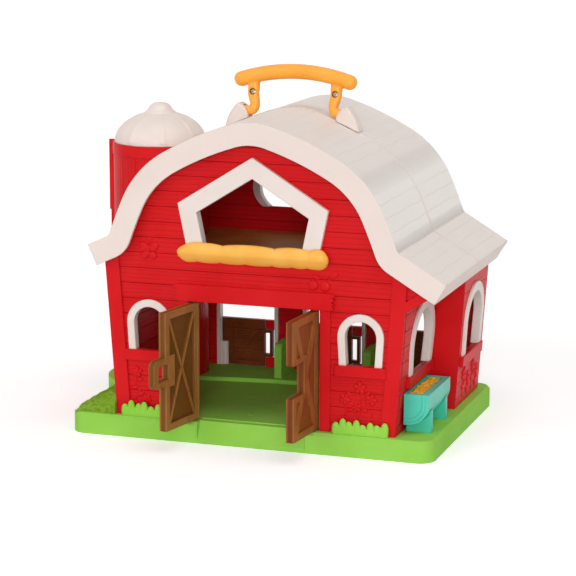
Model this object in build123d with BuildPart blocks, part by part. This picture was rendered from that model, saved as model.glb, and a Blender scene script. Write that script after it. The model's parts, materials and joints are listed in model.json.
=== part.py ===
from build123d import *
import math
import os

# Toy barn with opening doors, in millimetres. +Z is up, the front faces -Y, X = 0 is the gable's
# centre line, Y = 0 is the middle of the base and Z = 0 is the surface that the barn stands on.

# ---- Base ------------------------------------------------------------------------------------
base_height = 16.0
base_right = 137.5
base_left = -145.0
base_front = -95.0
base_back = 95.0
base_corner_radius = 12.0
base_edge = 2.0
base_skin = 3.0                  # top skin over the ribbed underside
rib_thickness = 2.0
base_rim = 4.0
pin_boss_radius = 5.0
rib_pitch = 38.0
lobe_reach = 6.8                  # green apron round the silo
ramp_half_width = 42.0
ramp_toe_height = 3.0
ramp_depth = 7.0
sill_ridge_height = 0.9
sill_ridge_width = 1.5
sill_ridge_setback = 1.0            # behind the front wall
stall_floor_rise = 3.3           # the stalls' floor is a low step with a curved front
stall_floor_bow = 15.0
stall_floor_front = 24.0

# ---- Walls -----------------------------------------------------------------------------------
wall = 3.0
wall_lean = 0.07                 # the side walls lean out by this much per unit of height
wall_half_width = 108.4          # at the floor
rear_wall_half_width = 128.7     # right-hand side behind the step, at the floor
front_wall_y = -87.0             # outer face
rear_wall_y = 78.0               # outer face
seam_y = 4.5                     # roof halves and the step in the right-hand wall meet here
post_width = 11.0
trim_relief = 2.0

# ---- Front doorway and its two doors ---------------------------------------------------------
doorway_half_width = 51.2
doorway_top = 106.3
lintel_half_width = 60.0
lintel_height = 12.5
lintel_depth = 8.0
lintel_proud = 3.5               # in front of the wall
jamb_width = 8.0
door_axis_x = 46.5
door_axis_y = -86.6
door_thickness = 6.1
door_width = 45.2                # from the hinge axis to the free edge
door_gap = 1.2                   # above and below the leaf
door_rim = 5.0
brace_width = 6.0
brace_relief = 1.2
rib_width = 1.4
panel_depth = 2.4                # pocket in the inner face
left_door_open = 100.0           # degrees from closed
right_door_open = 85.5
pin_radius = 2.0
pin_length = 5.0
pin_clearance = 0.05
latch_centre_z = 61.5
latch_reach = 15.0
latch_height = 21.0
latch_rim = 5.5
latch_bar = 4.5
latch_thickness = 5.0
notch_depth = 20.0
notch_height = 24.0
latch_pad = 4.0

# ---- Arched windows --------------------------------------------------------------------------
front_window_x = 82.0
front_window_half = 17.4
front_window_foot_half = 16.2
front_window_bottom = 66.6
front_window_top = 105.0
front_trim = 5.5
side_window_half = 32.5
side_window_foot_half = 30.0
side_window_bottom = 56.0
side_window_top = 109.0
side_trim = 7.5
front_side_window_y = -35.0
rear_side_window_y = 39.5
rear_side_window_half = 29.0
rear_side_window_foot_half = 28.0
window_fit = 0.15                # gap between a trim and its hole
trim_proud = 1.8
trim_depth = 6.5
sill_height = 8.0
sill_reach = 3.0
sill_overhang = 1.5

# ---- Roof ------------------------------------------------------------------------------------
roof_front = -95.0
roof_back = 97.0
roof_skin = 2.5
roof_gap = 0.3                   # between the roof skin and what stands under it
fascia_depth = 16.8
fascia_thickness = 2.8
eave_lip_thickness = 1.8
seam_bead = 0.6
seam_bead_width = 3.0
roof_top = 241.1
# the roof line falls from the ridge in four tangent arcs, each with its radius and its turn in degrees
apex_radius = 54.7
apex_turn = 16.9
upper_radius = 246.0
upper_turn = 13.2
shoulder_radius = 77.7
shoulder_turn = 36.1
lower_radius = 395.0
lower_turn = 4.0
# then a tight arc turns it back up to the slope of the eaves
kink_radius = 5.0
left_eave_slope = 24.5
left_eave_length = 16.3
right_eave_slope = 31.0
right_eave_length = 40.2

# ---- Silo ------------------------------------------------------------------------------------
silo_x = -124.0
silo_radius = 37.2
silo_behind_wall = 1.2           # the silo stands this far out behind the rear wall
silo_y = rear_wall_y + silo_behind_wall - silo_radius
silo_wall = 2.5
silo_top = 205.3
silo_band = 9.0
silo_band_relief = 0.7
flange_reach = 6.5                # beyond the silo's side, above flange_low_top
flange_low_reach = 5.4
flange_low_top = 148.7
flange_thickness = 1.6
silo_fit = 0.4
dome_inset = 0.5
dome_height = 24.5
dome_skin = 2.5
dome_gores = 24
dome_rings = 3
cap_radius = 14.0
cap_rim = 2.0
cap_waist_radius = 11.6
cap_waist = 2.6                  # above the crown of the dome
cap_top_radius = 8.0
cap_height = 6.6
cap_bevel = 1.8
cap_flat = 4.0

# ---- Loft ------------------------------------------------------------------------------------
loft_floor_z = 129.5
loft_floor_thickness = 3.0
loft_sill_z = 140.0
loft_frame_shoulder = (57.7, 179.1)
loft_frame_foot = (49.5, loft_sill_z)
loft_frame_apex = 215.0
loft_frame_width = 13.0
loft_frame_proud = 3.5
loft_lip = 2.0
hay_lobes = (36.0, 40.0, 26.0, 15.0)  # lengths of the bundle's swellings, from the left
hay_radius = 8.0
hay_neck_radius = 6.0
hay_sides = 8
hay_z = 143.2
hay_y = -87.4
hay_gap = 0.3
rear_loft_half = 49.0
rear_loft_bulge = 57.0
rear_loft_bottom = 152.0
rear_loft_bulge_z = 172.0
rear_loft_head_z = 186.0
rear_loft_head_inset = 6.0       # the head starts this far in from the sides
rear_loft_apex = 205.0
rear_trim = 6.0

# ---- Rear stalls -----------------------------------------------------------------------------
stall_pitch = 73.8
stall_centre_x = 11.4
stall_door_width = 52.7          # outside of the white frame
stall_door_top = 100.0
stall_frame = 3.0
stall_frame_depth = 7.0
gate_axis_inset = 3.2            # from the frame's inner face to the hinge axis
gate_length = 34.5
gate_top = 58.5
gate_thickness = 4.4
gate_gap = 0.8
gate_rim = 4.0
gate_brace = 5.0
gate_relief = 1.0
knuckle_top = 39.0
knuckle_radius = 2.7
knuckle_gap = 0.3
gate_pin_radius = 1.4
gate_pin_length = 12.0
gate_barrel_relief = 0.4
gate_loop_reach = 6.8
gate_loop_height = 22.0
gate_loop_bar = 2.2
keeper_width = 8.2
keeper_gap = 0.6                 # above and below the gate's loop
keeper_thickness = 4.0
divider_thickness = 6.0
divider_top = 47.0
divider_front = 42.0
divider_corner = 4.0

# ---- Trough on the porch ---------------------------------------------------------------------
trough_x = 111.3
trough_width = 18.7
trough_front = -76.0
trough_length = 62.0
trough_bottom = 22.8
trough_top = 45.9
trough_wall = 2.0
trough_lip = 5.5
trough_radius = 15.5
feed_drop = 1.0
feed_gap = 0.2
feed_bed = 6.0
trestle_thickness = 5.0
trestle_inset = 8.0
trestle_top = 33.0
trestle_gap = 0.3
stretcher = 2.5

# ---- Carrying handle -------------------------------------------------------------------------
handle_lean = 10.0               # degrees towards the back
pivot_drop = 3.5                 # hinge axis below the ridge
pivot_z = roof_top - pivot_drop
ear_inner = 35.0
ear_peak = 43.5
ear_outer = 53.5
ear_crown = 5.8                  # above the hinge axis
ear_top = pivot_z + ear_crown
ear_half_depth = 6.5
ear_nose = 3.0                   # the inner edge turns over this far below the axis
ear_brow = (3.6, 2.4)            # the turn's middle: in from the edge, down from the top
ear_bulge = (3.0, 9.6)           # the same for the outer edge
ear_foot_rise = 4.0
ear_socket = 43.5                # where the open pocket ends and the pin's socket starts
ear_height = 25.0
ear_edge = 1.3
hook_radius = 3.8
hook_pocket = 4.4
hook_start = 33.0
hook_end = 41.0
handle_pin_radius = 2.2
handle_pin_end = 46.2
leg_x = 32.9
leg_width = 8.8
leg_depth = 7.6
leg_foot = 2.5
leg_neck_x = 34.7                # the leg stays inside the ears up to leg_neck_rise
leg_neck_rise = 8.5
grip_half_span = 43.0
grip_end_rise = 23.7
grip_rise = 30.8
grip_height = 11.4
grip_depth = 12.5
grip_draft = 15.0                # degrees, from the parting plane to either face
handle_screw_rise = 14.2
handle_screw_x = 32.8
screw_head_radius = 2.7
screw_shank_radius = 1.4
screw_recess = 2.4
screw_head_height = 1.7

# ---- Garden ----------------------------------------------------------------------------------
blade_width = 5.3
blade_heights = (9.0, 12.0, 10.0, 11.5, 8.5, 10.5, 9.0, 11.0)
blade_depth = 3.2
blade_tip = 1.6
grass_gap = 0.4
bush_height = 24.0
bush_edge = 2.5                  # bare ledge left at the foot of the heap
bush_slope_x = 27.0              # how far its top lies in from the foot, towards the wall
bush_slope_y = 9.0
bush_gap = 0.5

os.makedirs("parts", exist_ok=True)


def save(part, name):
    part.label = name
    export_step(part, f"parts/{name}.step")


def facing_front(y):
    """Sketch plane at this Y whose normal is -Y; extruding by -h goes towards the back."""
    return Plane.XZ.offset(-y)


def wall_x(half_width, z):
    """Outer face of a leaning side wall at this height."""
    return half_width + wall_lean * (z - base_height)


def flat_sided(rings):
    """A solid with flat faces through rings of corner points, all with the same number of corners."""
    faces = [Face(Wire.make_polygon(ring, close=True)) for ring in (rings[0], rings[-1])]
    for lower, upper in zip(rings, rings[1:]):
        for index in range(len(lower)):
            corners = [lower[index - 1], lower[index], upper[index], upper[index - 1]]
            faces.append(Face(Wire.make_polygon(corners, close=True)))
    return Solid(Shell(faces))


def corner_angles(count):
    """The directions of a regular polygon's corners, with a flat side at the top."""
    return [2.0 * math.pi * (index + 0.5) / count for index in range(count)]


# ---- The gambrel roof line: a chain of tangent arcs on each side of the ridge --------------------
roof_arcs = ((apex_radius, apex_turn), (upper_radius, upper_turn), (shoulder_radius, shoulder_turn),
             (lower_radius, lower_turn))
steepest = sum(turn for _, turn in roof_arcs)
eaves = {-1: (left_eave_slope, left_eave_length), 1: (right_eave_slope, right_eave_length)}


def fall(point, radius, slope, turn):
    """Where an arc ends that starts at point with this slope and steepens by turn, in degrees."""
    first, last = math.radians(slope), math.radians(slope + turn)
    return (point[0] + radius * (math.sin(last) - math.sin(first)),
            point[1] - radius * (math.cos(first) - math.cos(last)))


def roof_side(side, inset):
    """One side of the roof line, moved in by inset: its arcs from the ridge down, and the eave's tip."""
    eave_slope, eave_length = eaves[side]
    point = (0.0, roof_top - inset)
    slope = 0.0
    arcs = []
    for radius, turn in roof_arcs + ((-kink_radius, eave_slope - steepest),):
        middle = fall(point, radius - inset, slope, turn / 2)
        end = fall(point, radius - inset, slope, turn)
        arcs.append([(side * x, z) for x, z in (point, middle, end)])
        point = end
        slope += turn
    tip = (side * (point[0] + eave_length * math.cos(math.radians(slope))),
           point[1] - eave_length * math.sin(math.radians(slope)))
    return arcs, tip


def draw_roof_line(inset):
    """Draws the roof line, moved in by inset, into the open line; gives its left and right tips."""
    tips = []
    for side in (-1, 1):
        arcs, tip = roof_side(side, inset)
        for arc in arcs:
            ThreePointArc(*arc)
        Line(arcs[-1][-1], tip)
        tips.append(tip)
    return tips


def gable_band(outer_inset, inner_inset):
    """The strip between two insets of the roof line."""
    with BuildSketch(Plane.XY) as band:
        with BuildLine():
            outer_tips = draw_roof_line(outer_inset)
            inner_tips = draw_roof_line(inner_inset)
            for outer, inner in zip(outer_tips, inner_tips):
                Line(outer, inner)
        make_face()
    return band.sketch


def under_roof(inset=roof_skin + roof_gap):
    """Everything below the roof line, down to the ground."""
    with BuildSketch(Plane.XY) as room:
        with BuildLine():
            left, right = draw_roof_line(inset)
            Polyline(left, (left[0], 0), (right[0], 0), right)
        make_face()
    return room.sketch


def eave_lips():
    """Both eave lips: from the roof's edge down along the end of the fascia."""
    lips = []
    for side, (slope, _) in eaves.items():
        tip = roof_side(side, 0.0)[1]
        deep = roof_side(side, fascia_depth)[1]
        back_x = -side * eave_lip_thickness * math.cos(math.radians(slope))
        back_z = eave_lip_thickness * math.sin(math.radians(slope))
        lips.append([tip, deep, (deep[0] + back_x, deep[1] + back_z), (tip[0] + back_x, tip[1] + back_z)])
    return lips


# ---- Outlines shared by a hole and what fills it ----------------------------------------------
def arch_outline(half, foot_half, bottom, top, centre=0.0, shrink=0.0):
    """A horseshoe: round head, legs that close in slightly towards the foot."""
    radius = half - shrink
    spring = top - half
    foot = foot_half - shrink
    head = math.asin(min(1.0, (half - foot_half) / (spring - bottom)))
    left = (centre - radius * math.cos(head), spring - radius * math.sin(head))
    right = (centre + radius * math.cos(head), spring - radius * math.sin(head))
    with BuildLine() as outline:
        ThreePointArc(left, (centre, spring + radius), right)
        Polyline(right, (centre + foot, bottom), (centre - foot, bottom), left)
    return outline.line


def loft_outline(inset, bottom=loft_sill_z):
    """The pentagon of the loft's window, moved in by inset."""
    sx, sz = loft_frame_shoulder
    fx, fz = loft_frame_foot
    slope = (loft_frame_apex - sz) / sx
    roof_drop = inset * math.hypot(1.0, slope)
    side = (sx - fx) / (sz - fz)
    side_shift = inset * math.hypot(1.0, side)
    # the shoulder is where the shifted roof line meets the shifted side line
    apex = loft_frame_apex - roof_drop
    z = (apex - slope * (fx - side_shift - side * fz)) / (1.0 + slope * side)
    x = fx - side_shift + side * (z - fz)
    foot = fx - side_shift + side * (bottom - fz)
    return [(-foot, bottom), (-x, z), (0, apex), (x, z), (foot, bottom)]


def stall_centres():
    return [stall_centre_x + stall_pitch * step for step in (-1, 0, 1)]


stall_floor_z = base_height + stall_floor_rise

# ---- Base with its ribbed underside, ramp and raised stall floor ------------------------------
with BuildPart() as base:
    with BuildSketch():
        with Locations(((base_left + base_right) / 2, (base_front + base_back) / 2)):
            RectangleRounded(base_right - base_left, base_back - base_front, base_corner_radius)
    extrude(amount=base_height)
    with BuildSketch():
        with Locations((silo_x, silo_y)):
            Circle(silo_radius + lobe_reach)
    extrude(amount=base_height)
    # ramp in front of the doorway
    with BuildSketch(Plane.YZ.offset(-ramp_half_width)):
        with BuildLine():
            Polyline((base_front - 1, ramp_toe_height), (base_front - 1, base_height + 1),
                     (base_front + ramp_depth, base_height + 1), (base_front + ramp_depth, base_height),
                     (base_front, ramp_toe_height), (base_front - 1, ramp_toe_height))
        make_face()
    extrude(amount=2 * ramp_half_width, mode=Mode.SUBTRACT)
    # low ridge behind the doors
    with BuildSketch(facing_front(front_wall_y + wall + sill_ridge_setback + sill_ridge_width)):
        with Locations((0, base_height)):
            Rectangle(2 * ramp_half_width, 2 * sill_ridge_height)
    extrude(amount=sill_ridge_width)
    # raised stall floor with a bowed front edge
    with BuildSketch(Plane.XY.offset(base_height - 0.5)):
        with BuildLine():
            left_x = -wall_half_width + wall + 1.0
            right_x = rear_wall_half_width - wall - 1.0
            ThreePointArc((left_x, stall_floor_front), (stall_centre_x, stall_floor_front + stall_floor_bow),
                          (right_x, stall_floor_front))
            Polyline((right_x, stall_floor_front), (right_x, rear_wall_y - wall - 0.2),
                     (left_x, rear_wall_y - wall - 0.2), (left_x, stall_floor_front))
        make_face()
        with Locations(*[(x, rear_wall_y) for x in stall_centres()]):
            Rectangle(stall_door_width, stall_frame_depth)
        with Locations((silo_x, silo_y)):
            Circle(silo_radius + silo_fit, mode=Mode.SUBTRACT)
    extrude(amount=stall_floor_rise + 0.5)
    # ribbed underside: pockets inside the rim, between a grid of ribs and the bosses under the door pins
    with BuildSketch():
        with Locations(((base_left + base_right) / 2, (base_front + base_back) / 2)):
            RectangleRounded(base_right - base_left - 2 * base_rim, base_back - base_front - 2 * base_rim,
                             base_corner_radius - base_rim)
        with GridLocations(rib_pitch, rib_pitch, 7, 1):
            Rectangle(rib_thickness, 2 * base_back, mode=Mode.SUBTRACT)
        with GridLocations(rib_pitch, rib_pitch, 1, 5):
            Rectangle(4 * base_right, rib_thickness, mode=Mode.SUBTRACT)
        with Locations((-door_axis_x, door_axis_y), (door_axis_x, door_axis_y)):
            Circle(pin_boss_radius, mode=Mode.SUBTRACT)
        # solid under the ramp
        with Locations((0, base_front)):
            Rectangle(2 * (ramp_half_width + rib_thickness), 2 * (ramp_depth + rib_thickness), mode=Mode.SUBTRACT)
    extrude(amount=base_height - base_skin, mode=Mode.SUBTRACT)
    # sockets for the doors' lower pins
    for side in (-1, 1):
        with BuildSketch(Plane.XY.offset(base_height + door_gap - pin_length - 0.6)):
            with Locations((side * door_axis_x, door_axis_y)):
                Circle(pin_radius + pin_clearance)
        extrude(amount=pin_length + 2, mode=Mode.SUBTRACT)
    # broken top edge, clear of the ramp and the green lobes
    deck = base.faces().filter_by_position(Axis.Z, base_height - 0.1, base_height + 0.1).sort_by(SortBy.AREA)[-1]
    rim = [(edge, edge @ 0.5) for edge in deck.outer_wire().edges()]
    broken = [edge for edge, middle in rim
               if middle.X > ramp_half_width or (middle.X < -ramp_half_width and middle.Y < front_wall_y + wall)]
    chamfer(broken, length=base_edge)
save(base.part, "base")

# ---- Front wall -------------------------------------------------------------------------------
front_window_spots = (-front_window_x, front_window_x)


def leaning_strip(side, half_width, width, bottom, top):
    """A strip of the front wall that follows the lean of its side edge."""
    low = wall_x(half_width, bottom)
    high = wall_x(half_width, top)
    return [(side * low, bottom), (side * high, top), (side * (high - width), top), (side * (low - width), bottom)]


wall_reach = 260.0  # above every roof line, so that the roof trims the walls
front_plane = facing_front(front_wall_y + wall)
bracket_foot = (wall_x(wall_half_width, 108.0), 108.0)
bracket_tip = (137.8, 122.8)
bracket_width = 8.0

with BuildPart() as front_wall:
    with BuildSketch(front_plane):
        with BuildLine():
            low = wall_x(wall_half_width, base_height)
            high = wall_x(wall_half_width, wall_reach)
            Polyline((-low, base_height), (-high, wall_reach), (high, wall_reach), (low, base_height), close=True)
        make_face()
        with BuildLine():
            Polyline((bracket_foot[0] - 6, bracket_foot[1]), bracket_foot, bracket_tip,
                     (bracket_tip[0], wall_reach), (bracket_foot[0] - 6, wall_reach), close=True)
        make_face()
        add(under_roof(), mode=Mode.INTERSECT)
        with Locations((0, (base_height + doorway_top) / 2)):
            Rectangle(2 * doorway_half_width, doorway_top - base_height, mode=Mode.SUBTRACT)
        for x in front_window_spots:
            add(arch_outline(front_window_half, front_window_foot_half, front_window_bottom,
                             front_window_top, x, -window_fit))
            make_face(mode=Mode.SUBTRACT)
        with BuildLine():
            Polyline(*loft_outline(loft_frame_width - loft_lip - window_fit), close=True)
        make_face(mode=Mode.SUBTRACT)
    extrude(amount=wall)
    # corner posts, jambs and the bracket's rib stand proud of the planks
    with BuildSketch(facing_front(front_wall_y)):
        for side in (-1, 1):
            with BuildLine():
                Polyline(*leaning_strip(side, wall_half_width, post_width, base_height, wall_reach), close=True)
            make_face()
            with Locations((side * (doorway_half_width + jamb_width / 2), (base_height + doorway_top) / 2)):
                Rectangle(jamb_width, doorway_top - base_height)
        with BuildLine():
            Polyline(bracket_foot, bracket_tip, (bracket_tip[0], bracket_tip[1] + bracket_width),
                     (bracket_foot[0], bracket_foot[1] + bracket_width), close=True)
        make_face()
        add(under_roof(), mode=Mode.INTERSECT)
    extrude(amount=trim_relief)
    # lintel, thick enough to hold the doors' upper pins
    with BuildSketch(facing_front(front_wall_y - lintel_proud + lintel_depth)):
        with Locations((0, doorway_top + lintel_height / 2)):
            Rectangle(2 * lintel_half_width, lintel_height)
    extrude(amount=lintel_depth)
    for side in (-1, 1):
        with BuildSketch(Plane.XY.offset(doorway_top)):
            with Locations((side * door_axis_x, door_axis_y)):
                Circle(pin_radius + pin_clearance)
        extrude(amount=pin_length + 0.6, mode=Mode.SUBTRACT)
    # window sills
    with BuildSketch(facing_front(front_wall_y)):
        with Locations(*[(x, front_window_bottom - sill_height / 2) for x in front_window_spots]):
            Rectangle(2 * (front_window_half + sill_overhang), sill_height)
    extrude(amount=sill_reach)
save(front_wall.part, "front_wall")

# ---- Side walls -------------------------------------------------------------------------------
def side_wall_section(half_width, side=1):
    """Cross-section of a leaning side wall, trimmed by the roof."""
    with BuildSketch(Plane.XY) as section:
        with BuildLine():
            Polyline(*leaning_strip(side, half_width, wall, base_height, wall_reach), close=True)
        make_face()
        add(under_roof(), mode=Mode.INTERSECT)
    return section.sketch


def side_sill(half_width, bottom):
    """Outline of a sill in front view: it follows the wall's lean on its inner side."""
    low = bottom - sill_height
    return [(wall_x(half_width, low) - 1.0, low), (wall_x(half_width, low) + sill_reach, low),
            (wall_x(half_width, bottom) + sill_reach, bottom), (wall_x(half_width, bottom) - 1.0, bottom)]


with BuildPart() as right_wall:
    with BuildSketch(facing_front(front_wall_y + wall)):
        add(side_wall_section(wall_half_width))
    extrude(amount=-(seam_y - front_wall_y - wall))
    with BuildSketch(Plane.YZ.offset(wall_half_width - 20)):
        add(arch_outline(side_window_half, side_window_foot_half, side_window_bottom, side_window_top,
                         front_side_window_y, -window_fit))
        make_face()
    extrude(amount=60, mode=Mode.SUBTRACT)
    with BuildSketch(facing_front(front_side_window_y - side_window_half - sill_overhang)):
        with BuildLine():
            Polyline(*side_sill(wall_half_width, side_window_bottom), close=True)
        make_face()
    extrude(amount=-2 * (side_window_half + sill_overhang))
save(right_wall.part, "right_wall")

with BuildPart() as rear_right_wall:
    # the step: a short wall that faces the front, from the front half's wall out to the rear half's
    with BuildSketch(facing_front(seam_y)):
        with BuildLine():
            Polyline((wall_x(wall_half_width, base_height) - wall, base_height),
                     (wall_x(rear_wall_half_width, base_height), base_height),
                     (wall_x(rear_wall_half_width, wall_reach), wall_reach),
                     (wall_x(wall_half_width, wall_reach) - wall, wall_reach), close=True)
        make_face()
        add(under_roof(), mode=Mode.INTERSECT)
    extrude(amount=-wall)
    with BuildSketch(facing_front(seam_y)):
        add(side_wall_section(rear_wall_half_width))
    extrude(amount=-(rear_wall_y - seam_y))
    with BuildSketch(Plane.YZ.offset(rear_wall_half_width - 20)):
        add(arch_outline(rear_side_window_half, rear_side_window_foot_half, side_window_bottom, side_window_top,
                         rear_side_window_y, -window_fit))
        make_face()
    extrude(amount=60, mode=Mode.SUBTRACT)
    with BuildSketch(facing_front(rear_side_window_y - rear_side_window_half - sill_overhang)):
        with BuildLine():
            Polyline(*side_sill(rear_wall_half_width, side_window_bottom), close=True)
        make_face()
    extrude(amount=-2 * (rear_side_window_half + sill_overhang))
save(rear_right_wall.part, "rear_right_wall")

with BuildPart() as left_wall:
    with BuildSketch(facing_front(front_wall_y + wall)):
        add(side_wall_section(wall_half_width, -1))
    extrude(amount=-(silo_y - front_wall_y - wall))
    with BuildSketch():
        with Locations((silo_x, silo_y)):
            Circle(silo_radius + silo_fit)
    extrude(amount=silo_top, mode=Mode.SUBTRACT)
save(left_wall.part, "left_wall")

# ---- Rear wall with its three stall doorways and the loft's rear window -------------------------
def rear_loft_outline(shrink):
    """Rear window of the loft: bulging sides under a low pointed head."""
    half = rear_loft_half - shrink
    bulge = rear_loft_bulge - shrink
    apex = rear_loft_apex - shrink
    head = half - rear_loft_head_inset
    with BuildLine() as outline:
        Polyline((head, rear_loft_head_z), (0, apex), (-head, rear_loft_head_z))
        ThreePointArc((-head, rear_loft_head_z), (-bulge, rear_loft_bulge_z), (-half, rear_loft_bottom))
        Line((-half, rear_loft_bottom), (half, rear_loft_bottom))
        ThreePointArc((half, rear_loft_bottom), (bulge, rear_loft_bulge_z), (head, rear_loft_head_z))
    return outline.line


with BuildPart() as rear_wall:
    with BuildSketch(facing_front(rear_wall_y)):
        with BuildLine():
            left_low = -wall_x(wall_half_width, base_height)
            left_high = -wall_x(wall_half_width, wall_reach)
            right_low = wall_x(rear_wall_half_width, base_height) - wall
            right_high = wall_x(rear_wall_half_width, wall_reach) - wall
            Polyline((left_low, base_height), (left_high, wall_reach), (right_high, wall_reach),
                     (right_low, base_height), close=True)
        make_face()
        add(under_roof(), mode=Mode.INTERSECT)
        for x in stall_centres():
            with Locations((x, (base_height + stall_door_top) / 2)):
                Rectangle(stall_door_width + 2 * window_fit, stall_door_top - base_height + 2 * window_fit,
                          mode=Mode.SUBTRACT)
        add(rear_loft_outline(0.0))
        make_face(mode=Mode.SUBTRACT)
    extrude(amount=wall)
    with BuildSketch():
        with Locations((silo_x, silo_y)):
            Circle(silo_radius + silo_fit)
    extrude(amount=silo_top, mode=Mode.SUBTRACT)
save(rear_wall.part, "rear_wall")

# ---- Roof halves --------------------------------------------------------------------------------
def roof_half(front, back, fascia_at_front):
    """One half of the roof: skin, eave lips and the fascia that closes its gable end."""
    with BuildPart() as half:
        with BuildSketch(facing_front(front)):
            add(gable_band(0.0, roof_skin))
        extrude(amount=-(back - front))
        for lip in eave_lips():
            with BuildSketch(facing_front(front)):
                with BuildLine():
                    Polyline(*lip, close=True)
                make_face()
            extrude(amount=-(back - front))
        with BuildSketch(facing_front(front if fascia_at_front else back - fascia_thickness)):
            add(gable_band(0.0, fascia_depth))
        extrude(amount=-fascia_thickness)
    return half.part


with BuildPart() as roof_front_half:
    add(roof_half(roof_front, seam_y, True))
    with BuildSketch(facing_front(seam_y)):
        add(gable_band(-seam_bead, roof_skin / 2))
    extrude(amount=seam_bead_width)
save(roof_front_half.part, "roof_front")

with BuildPart() as roof_rear_half:
    add(roof_half(seam_y, roof_back, False))
    with BuildSketch():
        with Locations((silo_x, silo_y)):
            Circle(silo_radius + silo_band_relief + silo_fit)
        with Locations((silo_x - silo_radius / 2, silo_y)):
            Rectangle(silo_radius, 2 * (silo_radius + silo_band_relief + silo_fit))
    extrude(amount=silo_top, mode=Mode.SUBTRACT)
save(roof_rear_half.part, "roof_rear")

# ---- Silo -----------------------------------------------------------------------------------------
def silo_shell(direction):
    """Half of the silo's body; direction is -1 for the front half and 1 for the rear half."""
    start = silo_y if direction > 0 else silo_y - 2 * silo_radius
    with BuildPart() as shell:
        with BuildSketch(Plane.XY.offset(base_height)):
            with Locations((silo_x, silo_y)):
                Circle(silo_radius)
        extrude(amount=silo_top - base_height)
        with BuildSketch(Plane.XY.offset(silo_top - silo_band)):
            with Locations((silo_x, silo_y)):
                Circle(silo_radius + silo_band_relief)
        extrude(amount=silo_band)
        with BuildSketch(Plane.XY.offset(base_height)):
            with Locations((silo_x, silo_y)):
                Circle(silo_radius - silo_wall)
        extrude(amount=silo_top, mode=Mode.SUBTRACT)
        with BuildSketch(Plane.XY.offset(base_height)):
            with Locations((silo_x, silo_y + direction * silo_radius)):
                Rectangle(3 * silo_radius, 2 * silo_radius)
        extrude(amount=silo_top, mode=Mode.INTERSECT)
        # parting flange on the outer side
        reaches = ((flange_low_reach, base_height, flange_low_top), (flange_reach, flange_low_top, silo_top))
        for reach, bottom, top in reaches:
            inner = silo_radius - silo_wall / 2
            outer = silo_radius + reach
            with BuildSketch(Plane.XY.offset(bottom)):
                with Locations((silo_x - (outer + inner) / 2, silo_y + direction * flange_thickness / 2)):
                    Rectangle(outer - inner, flange_thickness)
            extrude(amount=top - bottom)
    return shell.part


save(silo_shell(-1), "silo_front_shell")
save(silo_shell(1), "silo_rear_shell")


def dome_sections(inset):
    """Radius and height of the rings of the quarter ellipse, from the dome's foot up to its cap."""
    radius = silo_radius - dome_inset - inset
    height = dome_height - inset
    top_angle = math.acos(cap_radius / (silo_radius - dome_inset))
    angles = [top_angle * ring / dome_rings for ring in range(dome_rings + 1)]
    return [(radius * math.cos(angle), height * math.sin(angle)) for angle in angles]


def gored(sections):
    """A body of straight gores round the silo's axis, through these radii and heights above the silo."""
    return flat_sided([[(silo_x + radius * math.cos(angle), silo_y + radius * math.sin(angle), silo_top + height)
                        for angle in corner_angles(dome_gores)] for radius, height in sections])


with BuildPart() as silo_dome:
    cap_foot = dome_sections(0.0)[-1][1]
    cap_sections = [
        (cap_radius, cap_foot + cap_rim),
        (cap_waist_radius, dome_height + cap_waist),
        (cap_top_radius, dome_height + cap_height - cap_bevel),
        (cap_flat, dome_height + cap_height),
    ]
    add(gored(dome_sections(0.0) + cap_sections))
    add(gored(dome_sections(dome_skin)), mode=Mode.SUBTRACT)
save(silo_dome.part, "silo_dome")

# ---- Window trims -----------------------------------------------------------------------------------
for name, x in (("front_left_window_trim", -front_window_x), ("front_right_window_trim", front_window_x)):
    with BuildPart() as trim:
        with BuildSketch(facing_front(front_wall_y - trim_proud + trim_depth)):
            add(arch_outline(front_window_half, front_window_foot_half, front_window_bottom, front_window_top, x))
            make_face()
            add(arch_outline(front_window_half, front_window_foot_half, front_window_bottom, front_window_top, x,
                             front_trim))
            make_face(mode=Mode.SUBTRACT)
        extrude(amount=trim_depth)
    save(trim.part, name)


def leaning_slab(half_width, outside, depth):
    """A slab parallel to a leaning wall: its outer face stands `outside` beyond the wall's."""
    top = wall_reach
    low = wall_x(half_width, 0.0) + outside
    high = wall_x(half_width, top) + outside
    return [(low, 0.0), (high, top), (high - depth, top), (low - depth, 0.0)]


side_trims = (
    ("side_front_window_trim", wall_half_width, front_side_window_y, side_window_half, side_window_foot_half),
    ("side_rear_window_trim", rear_wall_half_width, rear_side_window_y, rear_side_window_half,
     rear_side_window_foot_half),
)
for name, half_width, y, half, foot in side_trims:
    with BuildPart() as trim:
        with BuildSketch(facing_front(y - half - 1.0)):
            with BuildLine():
                Polyline(*leaning_slab(half_width, trim_proud, trim_depth), close=True)
            make_face()
        extrude(amount=-2 * (half + 1.0))
        with BuildSketch(Plane.YZ.offset(half_width - 20)):
            add(arch_outline(half, foot, side_window_bottom, side_window_top, y))
            make_face()
            add(arch_outline(half, foot, side_window_bottom, side_window_top, y, side_trim))
            make_face(mode=Mode.SUBTRACT)
        extrude(amount=60, mode=Mode.INTERSECT)
    save(trim.part, name)

# ---- Loft: front frame, rear trim, floor and hay ------------------------------------------------------
with BuildPart() as loft_frame:
    with BuildSketch(facing_front(front_wall_y)):
        with BuildLine():
            Polyline(*loft_outline(0.0), close=True)
        make_face()
        with BuildLine():
            Polyline(*loft_outline(loft_frame_width), close=True)
        make_face(mode=Mode.SUBTRACT)
    extrude(amount=loft_frame_proud)
    # the lip that lines the hole
    with BuildSketch(facing_front(front_wall_y + wall + 1.5)):
        with BuildLine():
            Polyline(*loft_outline(loft_frame_width - loft_lip), close=True)
        make_face()
        with BuildLine():
            Polyline(*loft_outline(loft_frame_width), close=True)
        make_face(mode=Mode.SUBTRACT)
    extrude(amount=wall + 1.5)
save(loft_frame.part, "loft_frame")

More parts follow.
